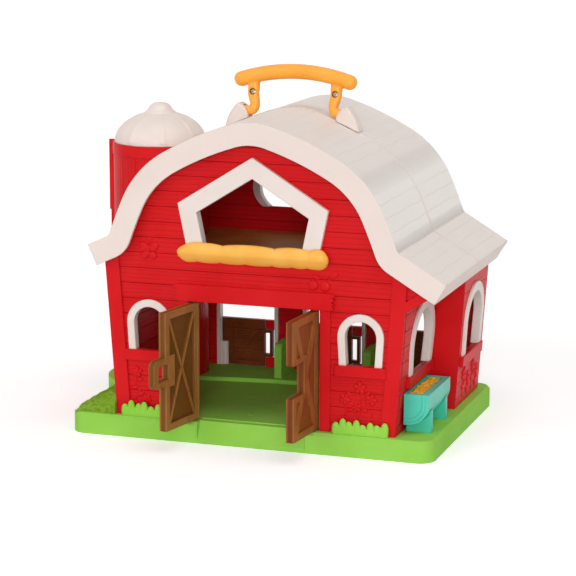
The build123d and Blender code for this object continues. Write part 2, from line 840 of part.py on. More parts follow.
with BuildPart() as rear_loft_trim:
    with BuildSketch(facing_front(rear_wall_y + trim_proud)):
        add(rear_loft_outline(window_fit))
        make_face()
        add(rear_loft_outline(rear_trim))
        make_face(mode=Mode.SUBTRACT)
    extrude(amount=trim_depth)
save(rear_loft_trim.part, "rear_loft_trim")

with BuildPart() as loft_floor:
    with BuildSketch(Plane.XY.offset(loft_floor_z)):
        reach = wall_x(wall_half_width, loft_floor_z) - wall - roof_gap
        rear_reach = wall_x(rear_wall_half_width, loft_floor_z) - wall - roof_gap
        front_edge = front_wall_y + wall
        back_edge = rear_wall_y - wall
        with BuildLine():
            Polyline((-reach, front_edge), (reach, front_edge), (reach, seam_y + wall), (rear_reach, seam_y + wall),
                     (rear_reach, back_edge), (-reach, back_edge), close=True)
        make_face()
        with Locations((silo_x, silo_y)):
            Circle(silo_radius + silo_fit, mode=Mode.SUBTRACT)
    extrude(amount=loft_floor_thickness)
save(loft_floor.part, "loft_floor")

with BuildPart() as hay_sill:
    stations = [(-sum(hay_lobes) / 2, hay_neck_radius)]
    for length in hay_lobes:
        start = stations[-1][0]
        stations += [(start + length / 2, hay_radius), (start + length, hay_neck_radius)]
    add(flat_sided([[(x, hay_y + radius * math.cos(angle), hay_z + radius * math.sin(angle))
                     for angle in corner_angles(hay_sides)] for x, radius in stations]))
    # flat back against the wall, stepped over the feet of the loft's frame
    with BuildSketch(Plane.YZ.offset(-sum(hay_lobes))):
        with BuildLine():
            step_y = front_wall_y - loft_frame_proud - hay_gap
            step_z = loft_sill_z - hay_gap
            deep = front_wall_y + 2 * hay_radius
            low, high = hay_z - 2 * hay_radius, hay_z + 2 * hay_radius
            Polyline((step_y, high), (step_y, step_z), (front_wall_y, step_z), (front_wall_y, low),
                     (deep, low), (deep, high), close=True)
        make_face()
    extrude(amount=2 * sum(hay_lobes), mode=Mode.SUBTRACT)
save(hay_sill.part, "hay_sill")

# ---- Front doors --------------------------------------------------------------------------------------
door_bottom = base_height + door_gap
door_top = doorway_top - door_gap


def hinged_plane(x, y, turn):
    """Plane of a hinged leaf: origin on its axis, local x along the leaf, local y up, normal outwards."""
    angle = math.radians(turn)
    return Plane((x, y, 0), x_dir=(math.cos(angle), math.sin(angle), 0), z_dir=(math.sin(angle), -math.cos(angle), 0))


def leaf_rectangle(side, near, far, bottom, top, mode=Mode.ADD):
    """A rectangle on the leaf, given by its distances from the hinge axis."""
    with Locations((side * (near + far) / 2, (bottom + top) / 2)):
        Rectangle(far - near, top - bottom, mode=mode)


def cross(side, near, far, bottom, top, width):
    """Two bars from corner to corner."""
    angle = math.degrees(math.atan2(top - bottom, far - near))
    length = math.hypot(top - bottom, far - near) * 1.5
    with Locations((side * (near + far) / 2, (bottom + top) / 2)):
        for tilt in (angle, -angle):
            Rectangle(length, width, rotation=tilt, mode=Mode.SUBTRACT)


def door_leaf(side, plane, with_loop):
    """One door leaf: outer X brace, ribbed inner face, hinge barrel and pins, loop or notch for the latch."""
    half = door_thickness / 2
    loop_low = latch_centre_z - latch_height / 2
    loop_high = latch_centre_z + latch_height / 2
    notch_low = latch_centre_z - notch_height / 2
    notch_high = latch_centre_z + notch_height / 2
    if with_loop:
        pad_near = door_width - 3 * latch_pad
        pad_low, pad_high = loop_low - 1.0, loop_high + 1.0
    else:
        pad_near = door_width - notch_depth - latch_pad
        pad_low, pad_high = notch_low - latch_pad, notch_high + latch_pad
    field = (door_rim, door_width - door_rim, door_bottom + door_rim, door_top - door_rim)
    with BuildPart() as leaf:
        with BuildSketch(plane.offset(-half)):
            leaf_rectangle(side, 0.0, door_width, door_bottom, door_top)
        extrude(amount=door_thickness)
        with BuildSketch(plane.offset(half)):
            leaf_rectangle(side, *field)
            cross(side, *field, brace_width)
            leaf_rectangle(side, pad_near, door_width, pad_low, pad_high, Mode.SUBTRACT)
        extrude(amount=-brace_relief, mode=Mode.SUBTRACT)
        with BuildSketch(plane.offset(-half)):
            leaf_rectangle(side, *field)
            cross(side, *field, rib_width)
            leaf_rectangle(side, pad_near, door_width, pad_low, pad_high, Mode.SUBTRACT)
        extrude(amount=panel_depth, mode=Mode.SUBTRACT)
        if with_loop:
            with BuildSketch(plane.offset(-latch_thickness / 2)):
                loop_length = latch_reach + 2 * latch_pad
                with Locations((side * (door_width + latch_reach - loop_length / 2), latch_centre_z)):
                    RectangleRounded(loop_length, latch_height, latch_rim - 0.5)
            extrude(amount=latch_thickness)
            with BuildSketch(plane.offset(-half - 1)):
                leaf_rectangle(side, door_width - latch_pad, door_width + latch_reach - latch_rim,
                               loop_low + latch_bar, loop_high - latch_bar)
            extrude(amount=door_thickness + 2, mode=Mode.SUBTRACT)
        else:
            with BuildSketch(plane.offset(-half - 1)):
                leaf_rectangle(side, door_width - notch_depth, door_width + 1, notch_low, notch_high)
            extrude(amount=door_thickness + 2, mode=Mode.SUBTRACT)
        with BuildSketch(Plane(origin=(plane.origin.X, plane.origin.Y, door_bottom))):
            Circle(half + 0.4)
        extrude(amount=door_top - door_bottom)
        with BuildSketch(Plane(origin=(plane.origin.X, plane.origin.Y, door_bottom - pin_length))):
            Circle(pin_radius)
        extrude(amount=door_top - door_bottom + 2 * pin_length)
    return leaf.part


left_door_plane = hinged_plane(-door_axis_x, door_axis_y, -left_door_open)
right_door_plane = hinged_plane(door_axis_x, door_axis_y, right_door_open)
save(door_leaf(1, left_door_plane, True), "front_left_door")
save(door_leaf(-1, right_door_plane, False), "front_right_door")

# ---- Stall doorways: white frames with hinge knuckles, keepers and half-height gates -----------
gate_y = rear_wall_y - wall / 2
gate_bottom = stall_floor_z + gate_gap
gate_loop_z = (gate_bottom + gate_top) / 2
frame_front = gate_y - stall_frame_depth / 2


def gate_axis_x(centre):
    return centre - stall_door_width / 2 + stall_frame + gate_axis_inset


def stall_frame_part(centre):
    """The white frame that lines a stall's doorway, with the knuckle that carries the gate's pin."""
    axis_x = gate_axis_x(centre)
    height = stall_door_top - stall_floor_z
    with BuildPart() as frame:
        with BuildSketch(facing_front(frame_front + stall_frame_depth)):
            with Locations((centre, stall_floor_z + height / 2)):
                Rectangle(stall_door_width, height)
            with Locations((centre, stall_floor_z + (height - stall_frame) / 2)):
                Rectangle(stall_door_width - 2 * stall_frame, height - stall_frame, mode=Mode.SUBTRACT)
        extrude(amount=stall_frame_depth)
        with BuildSketch(Plane.XY.offset(stall_floor_z)):
            with Locations((axis_x, gate_y)):
                Circle(knuckle_radius)
            with Locations((axis_x - gate_axis_inset / 2, gate_y)):
                Rectangle(gate_axis_inset, gate_thickness)
            with Locations((axis_x, gate_y)):
                Circle(gate_pin_radius + pin_clearance, mode=Mode.SUBTRACT)
        extrude(amount=knuckle_top - stall_floor_z)
    return frame.part


def stall_keeper(centre):
    """Two blocks on the latch side of a doorway; the gate's loop closes between them."""
    inner = centre + stall_door_width / 2 - stall_frame
    reach = gate_loop_height / 2 + keeper_gap
    with BuildPart() as keeper:
        with BuildSketch(facing_front(gate_y + keeper_thickness / 2)):
            for bottom, top in ((stall_floor_z, gate_loop_z - reach), (gate_loop_z + reach, gate_top)):
                with Locations((inner - keeper_width / 2, (bottom + top) / 2)):
                    Rectangle(keeper_width, top - bottom)
        extrude(amount=keeper_thickness)
    return keeper.part


def stall_gate(centre):
    """Half-height gate with a diagonal brace, a lift-off hinge pin and a loop at its free edge."""
    plane = hinged_plane(gate_axis_x(centre), gate_y, 0.0)
    half = gate_thickness / 2
    step = knuckle_radius + 0.9
    field = (step + gate_rim, gate_length - gate_rim, gate_bottom + gate_rim, gate_top - gate_rim)
    with BuildPart() as gate:
        with BuildSketch(plane.offset(-half)):
            leaf_rectangle(1, step, gate_length, gate_bottom, gate_top)
            leaf_rectangle(1, 0.0, step, knuckle_top + knuckle_gap, gate_top)
            loop_length = gate_loop_reach + 2 * gate_loop_bar
            with Locations((gate_length + gate_loop_reach - loop_length / 2, gate_loop_z)):
                Rectangle(loop_length, gate_loop_height)
            leaf_rectangle(1, gate_length, gate_length + gate_loop_reach - gate_loop_bar,
                           gate_loop_z - gate_loop_height / 2 + gate_loop_bar,
                           gate_loop_z + gate_loop_height / 2 - gate_loop_bar, Mode.SUBTRACT)
        extrude(amount=gate_thickness)
        for face_plane, depth in ((plane.offset(half), -gate_relief), (plane.offset(-half), gate_relief)):
            with BuildSketch(face_plane):
                leaf_rectangle(1, *field)
                near, far, low, high = field
                tilt = math.degrees(math.atan2(high - low, far - near))
                with Locations(((near + far) / 2, (low + high) / 2)):
                    Rectangle(2 * gate_length, gate_brace, rotation=tilt, mode=Mode.SUBTRACT)
            extrude(amount=depth, mode=Mode.SUBTRACT)
        with BuildSketch(Plane.XY.offset(knuckle_top + knuckle_gap)):
            with Locations((gate_axis_x(centre), gate_y)):
                Circle(half + gate_barrel_relief)
        extrude(amount=gate_top - knuckle_top - knuckle_gap)
        with BuildSketch(Plane.XY.offset(knuckle_top + knuckle_gap - gate_pin_length)):
            with Locations((gate_axis_x(centre), gate_y)):
                Circle(gate_pin_radius)
        extrude(amount=gate_pin_length)
    return gate.part


for letter, centre in zip("abc", stall_centres()):
    save(stall_frame_part(centre), f"stall_frame_{letter}")
    save(stall_keeper(centre), f"stall_keeper_{letter}")
    save(stall_gate(centre), f"stall_gate_{letter}")

for letter, step in (("a", -0.5), ("b", 0.5)):
    with BuildPart() as divider:
        with BuildSketch(Plane.YZ.offset(stall_centre_x + step * stall_pitch - divider_thickness / 2)):
            back = rear_wall_y - wall
            with BuildLine():
                rail = FilletPolyline((divider_front, stall_floor_z), (divider_front, divider_top),
                                      (back, divider_top), radius=divider_corner)
                Polyline(rail @ 1, (back, stall_floor_z), rail @ 0)
            make_face()
        extrude(amount=divider_thickness)
    save(divider.part, f"stall_divider_{letter}")

# ---- Trough on the porch -----------------------------------------------------------------------
trough_right = trough_x + trough_width
trough_back = trough_front + trough_length


def trough_section(inset):
    """Quarter-round tub in front view, moved in by inset on its round side and its back."""
    slant = math.sin(math.pi / 4)
    radius = trough_radius - inset
    centre_x = trough_right - trough_radius
    centre_z = trough_bottom + trough_radius
    left = trough_x + inset
    with BuildLine() as outline:
        Polyline((trough_right - inset, centre_z), (trough_right - inset, trough_top), (left, trough_top),
                 (left, trough_bottom + inset), (centre_x, trough_bottom + inset))
        ThreePointArc((centre_x, trough_bottom + inset), (centre_x + radius * slant, centre_z - radius * slant),
                      (trough_right - inset, centre_z))
    return outline.line


cavity_front = trough_front + trough_wall + 1.0
cavity_length = trough_length - 2 * (trough_wall + 1.0)

with BuildPart() as trough_tub:
    with BuildSketch(facing_front(trough_front)):
        add(trough_section(0.0))
        make_face()
    extrude(amount=-trough_length)
    with BuildSketch(facing_front(cavity_front)):
        add(trough_section(trough_wall))
        make_face()
        with Locations((trough_right, trough_top)):
            Rectangle(2 * trough_lip, 3 * trough_wall, mode=Mode.SUBTRACT)
    extrude(amount=-cavity_length, mode=Mode.SUBTRACT)
save(trough_tub.part, "trough_tub")

with BuildPart() as trough_feed:
    with BuildSketch(facing_front(cavity_front + feed_gap)):
        with BuildLine():
            low = trough_bottom + trough_wall + feed_bed
            right = trough_right - trough_lip - feed_gap
            left = trough_x + trough_wall + feed_gap
            top = trough_top - feed_drop
            Polyline((left, low), (right - 2.0, low), (right, low + 3.0), (right, top), (left, top), close=True)
        make_face()
    extrude(amount=-(cavity_length - 2 * feed_gap))
save(trough_feed.part, "trough_feed")

with BuildPart() as trough_stand:
    for y in (trough_front + trestle_inset, trough_back - trestle_inset - trestle_thickness):
        with BuildSketch(facing_front(y)):
            with Locations((trough_x + trough_width / 2, (base_height + trestle_top) / 2)):
                Rectangle(trough_width, trestle_top - base_height)
            add(trough_section(-trestle_gap))
            make_face(mode=Mode.SUBTRACT)
        extrude(amount=-trestle_thickness)
    # a low stretcher along the wall joins the two trestles
    with BuildSketch(facing_front(trough_front + trestle_inset)):
        with Locations((trough_x + stretcher / 2, base_height + stretcher)):
            Rectangle(stretcher, 2 * stretcher)
    extrude(amount=-(trough_length - 2 * trestle_inset))
save(trough_stand.part, "trough_stand")


# ---- Carrying handle and its ears -----------------------------------------------------------------
def ear_part(side):
    """A rounded fin on the ridge, open towards the centre, with a socket for the handle's pin."""
    foot = ear_top - ear_height
    inner, peak, outer = side * ear_inner, side * ear_peak, side * ear_outer
    with BuildPart() as ear:
        with BuildSketch(facing_front(seam_y + ear_half_depth)):
            with BuildLine():
                nose = (inner, pivot_z - ear_nose)
                heel = (outer, foot + ear_foot_rise)
                ThreePointArc(nose, (inner + side * ear_brow[0], ear_top - ear_brow[1]), (peak, ear_top))
                ThreePointArc((peak, ear_top), (outer - side * ear_bulge[0], ear_top - ear_bulge[1]), heel)
                Polyline(heel, (outer, foot), (inner, foot), nose)
            make_face()
            add(under_roof(-seam_bead - 0.05), mode=Mode.SUBTRACT)
        extrude(amount=2 * ear_half_depth)
        # the two arcs of each side stand above the roof's own
        arcs = ear.faces().filter_by(Axis.Y).edges().filter_by(GeomType.CIRCLE).sort_by(Axis.Z)
        chamfer(arcs[-4:], length=ear_edge)
        # open pocket for the hook, then the pin's socket
        pocket_plane = Plane.YZ.offset(side * (ear_inner - 2.0))
        with BuildSketch(pocket_plane):
            with Locations((seam_y, pivot_z)):
                Circle(hook_pocket)
        extrude(amount=side * (ear_socket - ear_inner + 2.0), mode=Mode.SUBTRACT)
        with BuildSketch(pocket_plane):
            with Locations((seam_y, pivot_z)):
                Circle(handle_pin_radius + pin_clearance)
        extrude(amount=side * (handle_pin_end + 0.3 - ear_inner + 2.0), mode=Mode.SUBTRACT)
    return ear.part


save(ear_part(-1), "handle_ear_left")
save(ear_part(1), "handle_ear_right")

lean = math.radians(handle_lean)
handle_plane = Plane((0, seam_y, pivot_z), x_dir=(1, 0, 0), z_dir=(0, -math.cos(lean), math.sin(lean)))
screw_spots = [(side * handle_screw_x, handle_screw_rise) for side in (-1, 1)]


grip_arch = ThreePointArc((-grip_half_span, grip_end_rise), (0, grip_rise), (grip_half_span, grip_end_rise))


def handle_shell(keep):
    """Half of the handle on one side of its parting plane: arched grip, two legs, hooks and pins."""
    with BuildPart() as shell:
        with BuildSketch(handle_plane):
            SlotArc(grip_arch, grip_height)
        extrude(amount=grip_depth / 2, both=True, taper=grip_draft)
        with BuildSketch(handle_plane.offset(-leg_depth / 2)):
            for side in (-1, 1):
                inner, outer = side * (leg_x - leg_width / 2), side * (leg_x + leg_width / 2)
                with BuildLine():
                    Polyline((inner, grip_end_rise), (inner, leg_neck_rise), (inner + side * 2.6, leg_foot),
                             (side * leg_neck_x, leg_foot), (side * leg_neck_x, leg_neck_rise - 3.0),
                             (outer, leg_neck_rise), (outer, grip_end_rise), close=True)
                make_face()
        extrude(amount=leg_depth)
        for side in (-1, 1):
            with BuildSketch(Plane.YZ.offset(side * hook_start)):
                with Locations((seam_y, pivot_z)):
                    Circle(hook_radius)
            extrude(amount=side * (hook_end - hook_start))
            with BuildSketch(Plane.YZ.offset(side * hook_end)):
                with Locations((seam_y, pivot_z)):
                    Circle(handle_pin_radius)
            extrude(amount=side * (handle_pin_end - hook_end))
        # screw holes with their recesses
        with BuildSketch(handle_plane.offset(leg_depth / 2)):
            with Locations(*screw_spots):
                Circle(screw_head_radius + 0.3)
        extrude(amount=-screw_recess, mode=Mode.SUBTRACT)
        with BuildSketch(handle_plane.offset(leg_depth / 2)):
            with Locations(*screw_spots):
                Circle(screw_shank_radius + pin_clearance)
        extrude(amount=-(leg_depth - 1.2), mode=Mode.SUBTRACT)
        split(bisect_by=handle_plane, keep=keep)
    return shell.part


save(handle_shell(Keep.TOP), "handle_front_shell")
save(handle_shell(Keep.BOTTOM), "handle_rear_shell")

with BuildPart() as handle_screws:
    with BuildSketch(handle_plane.offset(leg_depth / 2 - screw_recess)):
        with Locations(*screw_spots):
            Circle(screw_head_radius)
    extrude(amount=screw_head_height)
    with BuildSketch(handle_plane.offset(leg_depth / 2 - screw_recess)):
        with Locations(*screw_spots):
            Circle(screw_shank_radius)
    extrude(amount=-(leg_depth - 1.5 - screw_recess))
save(handle_screws.part, "handle_screws")

# ---- Garden: grass in front of the walls and the bush beside the silo --------------------------------
grass_back = front_wall_y - trim_relief - grass_gap


def grass_strip(start_x):
    """A row of blunt blades along the front ledge."""
    with BuildPart() as grass:
        with BuildSketch(facing_front(grass_back)):
            for index, height in enumerate(blade_heights):
                left = start_x + blade_width * index
                top = base_height + height
                with BuildLine():
                    Polyline((left, base_height), (left, top - blade_tip), (left + blade_tip, top),
                             (left + blade_width - blade_tip, top), (left + blade_width, top - blade_tip),
                             (left + blade_width, base_height), close=True)
                make_face()
        extrude(amount=blade_depth)
    return grass.part


save(grass_strip(-lintel_half_width - 1.5 - blade_width * len(blade_heights)), "grass_left")
save(grass_strip(lintel_half_width + 1.5), "grass_right")

with BuildPart() as bush:
    left = base_left + bush_edge
    right = -wall_x(wall_half_width, base_height + bush_height) - bush_gap
    front = base_front + bush_edge
    back = silo_y - silo_radius - bush_gap
    top = base_height + bush_height
    foot = [(left, front, base_height), (right, front, base_height), (right, back, base_height),
            (left, back, base_height)]
    crest = [(left + bush_slope_x, front + bush_slope_y, top), (right, front + bush_slope_y, top),
             (right, back - bush_slope_y, top), (left + bush_slope_x, back - bush_slope_y, top)]
    add(flat_sided([foot, crest]))
save(bush.part, "bush")
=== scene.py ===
import json
import math
import random

import bmesh
import bpy
from mathutils import Matrix, Vector, noise


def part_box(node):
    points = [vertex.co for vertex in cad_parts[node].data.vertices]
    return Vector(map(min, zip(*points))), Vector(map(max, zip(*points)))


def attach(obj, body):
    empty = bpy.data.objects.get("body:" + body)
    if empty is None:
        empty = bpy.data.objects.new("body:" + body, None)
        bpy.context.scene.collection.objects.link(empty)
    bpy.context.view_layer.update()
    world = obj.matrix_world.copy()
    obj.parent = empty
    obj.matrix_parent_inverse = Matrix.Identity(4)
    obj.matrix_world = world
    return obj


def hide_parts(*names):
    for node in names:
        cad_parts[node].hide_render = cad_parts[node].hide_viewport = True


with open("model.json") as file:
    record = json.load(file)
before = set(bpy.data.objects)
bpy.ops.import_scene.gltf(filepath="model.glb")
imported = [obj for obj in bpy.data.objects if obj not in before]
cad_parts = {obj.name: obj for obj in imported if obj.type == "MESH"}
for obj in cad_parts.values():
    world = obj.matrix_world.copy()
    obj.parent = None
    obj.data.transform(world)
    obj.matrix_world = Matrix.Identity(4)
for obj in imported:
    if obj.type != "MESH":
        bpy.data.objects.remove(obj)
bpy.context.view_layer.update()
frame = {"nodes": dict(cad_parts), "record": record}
nodes = frame["nodes"]
MM = 0.001

# ---- Sizes in millimetres, as in the frame -----------------------------------------------------------
WALL_Y, REAR_Y = -87.0, 78.0            # outer faces of the front and the rear wall
SIDE_X, REAR_SIDE_X = 108.4, 128.7      # of the side walls at their feet, and on the right behind the porch
LEAN = 0.07                             # of the side walls, outwards
PROUD = 0.3                             # what stands out by more than this is trim, without planks
BASE_TOP = 16.0
SILO_X, SILO_Y, SILO_R, SILO_TOP = -124.0, 42.0, 37.2, 205.3
SILO_PLANK = 12.99                      # pitch of the silo's upright planks
DOOR_X, DOOR_Y = 46.5, -86.6            # hinge axes of the front doors, left and right of the middle
DOOR_HALF = 3.05                        # half their thickness
LEFT_OPEN, RIGHT_OPEN = 100.0, 85.5     # how far they stand open at rest, in degrees
PLANK, PLANK_RISE, PLANK_GAP = 11.7, 0.35, 0.55     # pitch, height and joint of the planks on the walls


def rgb(r, g, b):
    """An 8-bit display colour as a linear RGBA value."""
    return tuple(((c / 255 + 0.055) / 1.055) ** 2.4 if c > 10 else c / 3294.6 for c in (r, g, b)) + (1.0,)


# ---- Camera ------------------------------------------------------------------------------------------
# fitted to the photograph: its width and the focal length in pixels, place in metres, turns in radians
FRAME, FOCAL = 576.0, 2169.5754
CAMERA_AT = (0.51828, -1.54881, 0.43089)
YAW, DOWN, ROLL = 0.3246, 0.1985, 0.0013


def make_camera():
    data = bpy.data.cameras.new("camera")
    data.sensor_width = 36.0
    data.lens = FOCAL / FRAME * data.sensor_width
    data.clip_end = 60.0
    camera = bpy.data.objects.new("camera", data)
    bpy.context.scene.collection.objects.link(camera)
    camera.location = CAMERA_AT
    camera.rotation_euler = (Matrix.Rotation(YAW, 3, "Z") @ Matrix.Rotation(math.pi / 2 - DOWN, 3, "X")
                             @ Matrix.Rotation(ROLL, 3, "Z")).to_euler()
    bpy.context.scene.camera = camera


make_camera()

# ---- Light, floor and background ---------------------------------------------------------------------
scene = bpy.context.scene
scene.view_settings.view_transform = "Standard"


def camera_or_mirror(tree):
    """1 for rays that show the background: camera, glossy and transmission rays."""
    path = tree.nodes.new("ShaderNodeLightPath")
    total = path.outputs["Is Camera Ray"]
    for name in ("Is Glossy Ray", "Is Transmission Ray"):
        add = tree.nodes.new("ShaderNodeMath")
        add.operation = "MAXIMUM"
        tree.links.new(total, add.inputs[0])
        tree.links.new(path.outputs[name], add.inputs[1])
        total = add.outputs[0]
    return total


# name, strength, width, azimuth from the front towards +X, and height; the last three in degrees
LAMPS = (("front", 1.03, 22, 17, 12), ("fill", 0.50, 30, -30, 30), ("top", 0.69, 40, 30, 74),
         ("side", 0.28, 40, 80, 54))
SKY, FLOOR_GLOW, FLOOR_REACH = 0.37, 0.32, 30.0


def make_sky():
    world = bpy.data.worlds.new("studio")
    scene.world = world
    world.use_nodes = True
    tree = world.node_tree
    tree.nodes.clear()
    out = tree.nodes.new("ShaderNodeOutputWorld")
    mix = tree.nodes.new("ShaderNodeMixShader")
    soft = tree.nodes.new("ShaderNodeBackground")
    soft.inputs["Color"].default_value = (1.0, 0.985, 0.965, 1)
    soft.inputs["Strength"].default_value = SKY
    white = tree.nodes.new("ShaderNodeBackground")
    white.inputs["Color"].default_value = (1, 1, 1, 1)
    tree.links.new(camera_or_mirror(tree), mix.inputs[0])
    tree.links.new(soft.outputs[0], mix.inputs[1])
    tree.links.new(white.outputs[0], mix.inputs[2])
    tree.links.new(mix.outputs[0], out.inputs[0])


def make_lamps():
    for name, strength, width, azimuth, height in LAMPS:
        light = bpy.data.lights.new(name, "SUN")
        light.energy = strength
        light.angle = math.radians(width)
        lamp = bpy.data.objects.new(name, light)
        scene.collection.objects.link(lamp)
        side, up = math.radians(azimuth), math.radians(height)
        toward = Vector((math.sin(side) * math.cos(up), -math.cos(side) * math.cos(up), math.sin(up)))
        lamp.rotation_euler = toward.to_track_quat("Z", "Y").to_euler()


def make_floor():
    """A white floor that glows a little for the camera and keeps the shadow."""
    mesh = bpy.data.meshes.new("floor")
    corners = [(FLOOR_REACH * x, FLOOR_REACH * y, 0.0) for x, y in ((-1, -1), (1, -1), (1, 1), (-1, 1))]
    mesh.from_pydata(corners, [], [(0, 1, 2, 3)])
    floor = bpy.data.objects.new("floor", mesh)
    scene.collection.objects.link(floor)
    material = bpy.data.materials.new("floor_white")
    material.use_nodes = True
    tree = material.node_tree
    base = tree.nodes["Principled BSDF"]
    base.inputs["Base Color"].default_value = (0.93, 0.93, 0.93, 1)
    base.inputs["Roughness"].default_value = 0.9
    base.inputs["Specular IOR Level"].default_value = 0.1
    glow = tree.nodes.new("ShaderNodeEmission")
    add = tree.nodes.new("ShaderNodeAddShader")
    scale = tree.nodes.new("ShaderNodeMath")
    scale.operation = "MULTIPLY"
    scale.inputs[1].default_value = FLOOR_GLOW
    tree.links.new(camera_or_mirror(tree), scale.inputs[0])
    tree.links.new(scale.outputs[0], glow.inputs["Strength"])
    tree.links.new(base.outputs[0], add.inputs[0])
    tree.links.new(glow.outputs[0], add.inputs[1])
    tree.links.new(add.outputs[0], tree.nodes["Material Output"].inputs["Surface"])
    mesh.materials.append(material)


make_sky()
make_lamps()
make_floor()


# ---- Material kit ------------------------------------------------------------------------------------
class Shade:
    """A node tree under construction; every helper returns an output socket."""

    def __init__(self, name, roughness, specular):
        self.material = bpy.data.materials.new(name)
        self.material.use_nodes = True
        self.tree = self.material.node_tree
        self.shader = self.tree.nodes["Principled BSDF"]
        self.shader.inputs["Roughness"].default_value = roughness
        self.shader.inputs["Specular IOR Level"].default_value = specular
        self.place = self.tree.nodes.new("ShaderNodeTexCoord").outputs["Object"]

    def put(self, socket, value):
        if isinstance(value, bpy.types.NodeSocket):
            self.tree.links.new(value, socket)
        elif value is not None:
            socket.default_value = value

    def node(self, kind, inputs=None, out=0, **settings):
        made = self.tree.nodes.new(kind)
        for key, value in settings.items():
            setattr(made, key, value)
        for key, value in (inputs or {}).items():
            self.put(made.inputs[key], value)
        return made.outputs[out]

    def math(self, operation, a, b=None):
        return self.node("ShaderNodeMath", {0: a, 1: b}, operation=operation)

    def axes(self, vector=None):
        made = self.tree.nodes.new("ShaderNodeSeparateXYZ")
        self.put(made.inputs[0], vector or self.place)
        return made.outputs

    def facing(self):
        """The way a face looks, by axis."""
        return self.axes(self.node("ShaderNodeNewGeometry", out=1))

    def vector(self, x, y, z):
        return self.node("ShaderNodeCombineXYZ", {0: x, 1: y, 2: z})

    def noise(self, scale, detail=3.0):
        return self.node("ShaderNodeTexNoise",
                         {"Vector": self.place, "Scale": scale, "Detail": detail, "Roughness": 0.55})

    def blotches(self, scale, low, high):
        """Two tones in soft patches."""
        return self.mix(self.remap(self.noise(scale), 0.3, 0.7), low, high)

    def remap(self, value, low, high, to_low=0.0, to_high=1.0):
        return self.node("ShaderNodeMapRange", {0: value, 1: low, 2: high, 3: to_low, 4: to_high},
                         interpolation_type="SMOOTHSTEP")

    def mix(self, factor, a, b):
        made = self.tree.nodes.new("ShaderNodeMix")
        made.data_type = "RGBA"
        self.put(made.inputs[0], factor)
        self.put(made.inputs[6], a)
        self.put(made.inputs[7], b)
        return made.outputs[2]

    def stain(self, tone, mask, strength, color):
        """The tone, taken towards a colour by that strength where the mask is 1."""
        return self.mix(self.math("MULTIPLY", mask, strength), tone, color)

    def finish(self, color, edge, height=None, depth=0.03):
        """Sets the colour, softens the edges to a radius and raises a relief; both in millimetres.
        Without a height the relief is a fine noise."""
        self.put(self.shader.inputs["Base Color"], color)
        soft = self.node("ShaderNodeBevel", {"Radius": edge * MM}, samples=4)
        if height is None:
            height = self.noise(700.0)
        bump = self.node("ShaderNodeBump",
                         {"Strength": 1.0, "Distance": depth * MM, "Height": height, "Normal": soft})
        self.put(self.shader.inputs["Normal"], bump)
        return self.material


def wood(shade, along, across, pitch, lines, swirl=9.0, wander=0.12):
    """Plank joints and raised grain that runs along `along`, as two masks. pitch is in millimetres."""
    wave = shade.noise(14.0, detail=1.0)
    row = shade.math("ADD", shade.math("DIVIDE", across, pitch * MM), shade.math("MULTIPLY", wave, wander))
    plank = shade.math("FLOOR", row)
    far = shade.math("ABSOLUTE", shade.math("SUBTRACT", shade.math("FRACT", row), 0.5))
    joint = shade.remap(far, 0.465, 0.5)
    place = shade.vector(shade.math("MULTIPLY", along, 0.16), shade.math("MULTIPLY", plank, 0.37), across)
    grain = shade.node("ShaderNodeTexWave",
                       {"Vector": place, "Scale": lines, "Distortion": swirl, "Detail": 1.5,
                        "Detail Scale": 0.35, "Detail Roughness": 0.5},
                       out=1, bands_direction="Z")
    return joint, shade.remap(grain, 0.72, 0.98)


RED_LOW, RED_HIGH, RED_GRAIN, RED_JOINT = rgb(208, 18, 24), rgb(216, 26, 31), rgb(158, 8, 14), rgb(132, 4, 10)


def red(name, along=None, across=None, pitch=PLANK, proud=None, cut=True):
    """Red moulded plastic with raised grain, and with dark joints between planks where cut is true.
    proud(shade) is 1 where smooth trim stands out."""
    shade = Shade(name, 0.40, 0.12)
    tone = shade.blotches(26.0, RED_LOW, RED_HIGH)
    fine = shade.math("MULTIPLY", shade.noise(900.0), 0.05)
    if along is None:
        return shade.finish(tone, 0.9, fine, 0.3)
    joint, grain = wood(shade, along(shade), across(shade), pitch, 95.0, swirl=13.0, wander=0.0)
    if proud:
        bare = shade.math("SUBTRACT", 1.0, proud(shade))
        joint, grain = shade.math("MULTIPLY", joint, bare), shade.math("MULTIPLY", grain, bare)
    tone = shade.stain(tone, grain, 0.24, RED_GRAIN)
    relief = shade.math("SUBTRACT", fine, shade.math("MULTIPLY", grain, 0.3))
    if not cut:
        return shade.finish(tone, 0.25, relief, 0.32)
    tone = shade.stain(tone, joint, 0.50, RED_JOINT)
    return shade.finish(tone, 0.9, shade.math("SUBTRACT", relief, joint), 0.32)


def beyond(value, limit):
    """A mask maker: 1 where value(shade), in metres, is over the limit in millimetres."""
    return lambda shade: shade.remap(value(shade), (limit - 0.05) * MM, (limit + 0.05) * MM)


def in_front(shade):
    return shade.math("MULTIPLY", shade.axes()[1], -1.0)


def off_leaning_wall(shade):
    """Distance out along X, less the side walls' lean."""
    x, _, z = shade.axes()
    return shade.math("SUBTRACT", x, shade.math("MULTIPLY", shade.math("SUBTRACT", z, BASE_TOP * MM), LEAN))


def off_silo_axis(shade):
    x, y, _ = shade.axes()
    flat = shade.vector(shade.math("SUBTRACT", x, SILO_X * MM), shade.math("SUBTRACT", y, SILO_Y * MM), 0.0)
    return shade.node("ShaderNodeVectorMath", {0: flat}, out=1, operation="LENGTH")


def off_side(axis, limit):
    """A mask maker: 1 beyond the limit and on every face that looks along Y, where no planks are moulded."""
    over = beyond(axis, limit)

    def measure(shade):
        end_face = shade.remap(shade.math("ABSOLUTE", shade.facing()[1]), 0.6, 0.7)
        return shade.math("MAXIMUM", over(shade), end_face)
    return measure


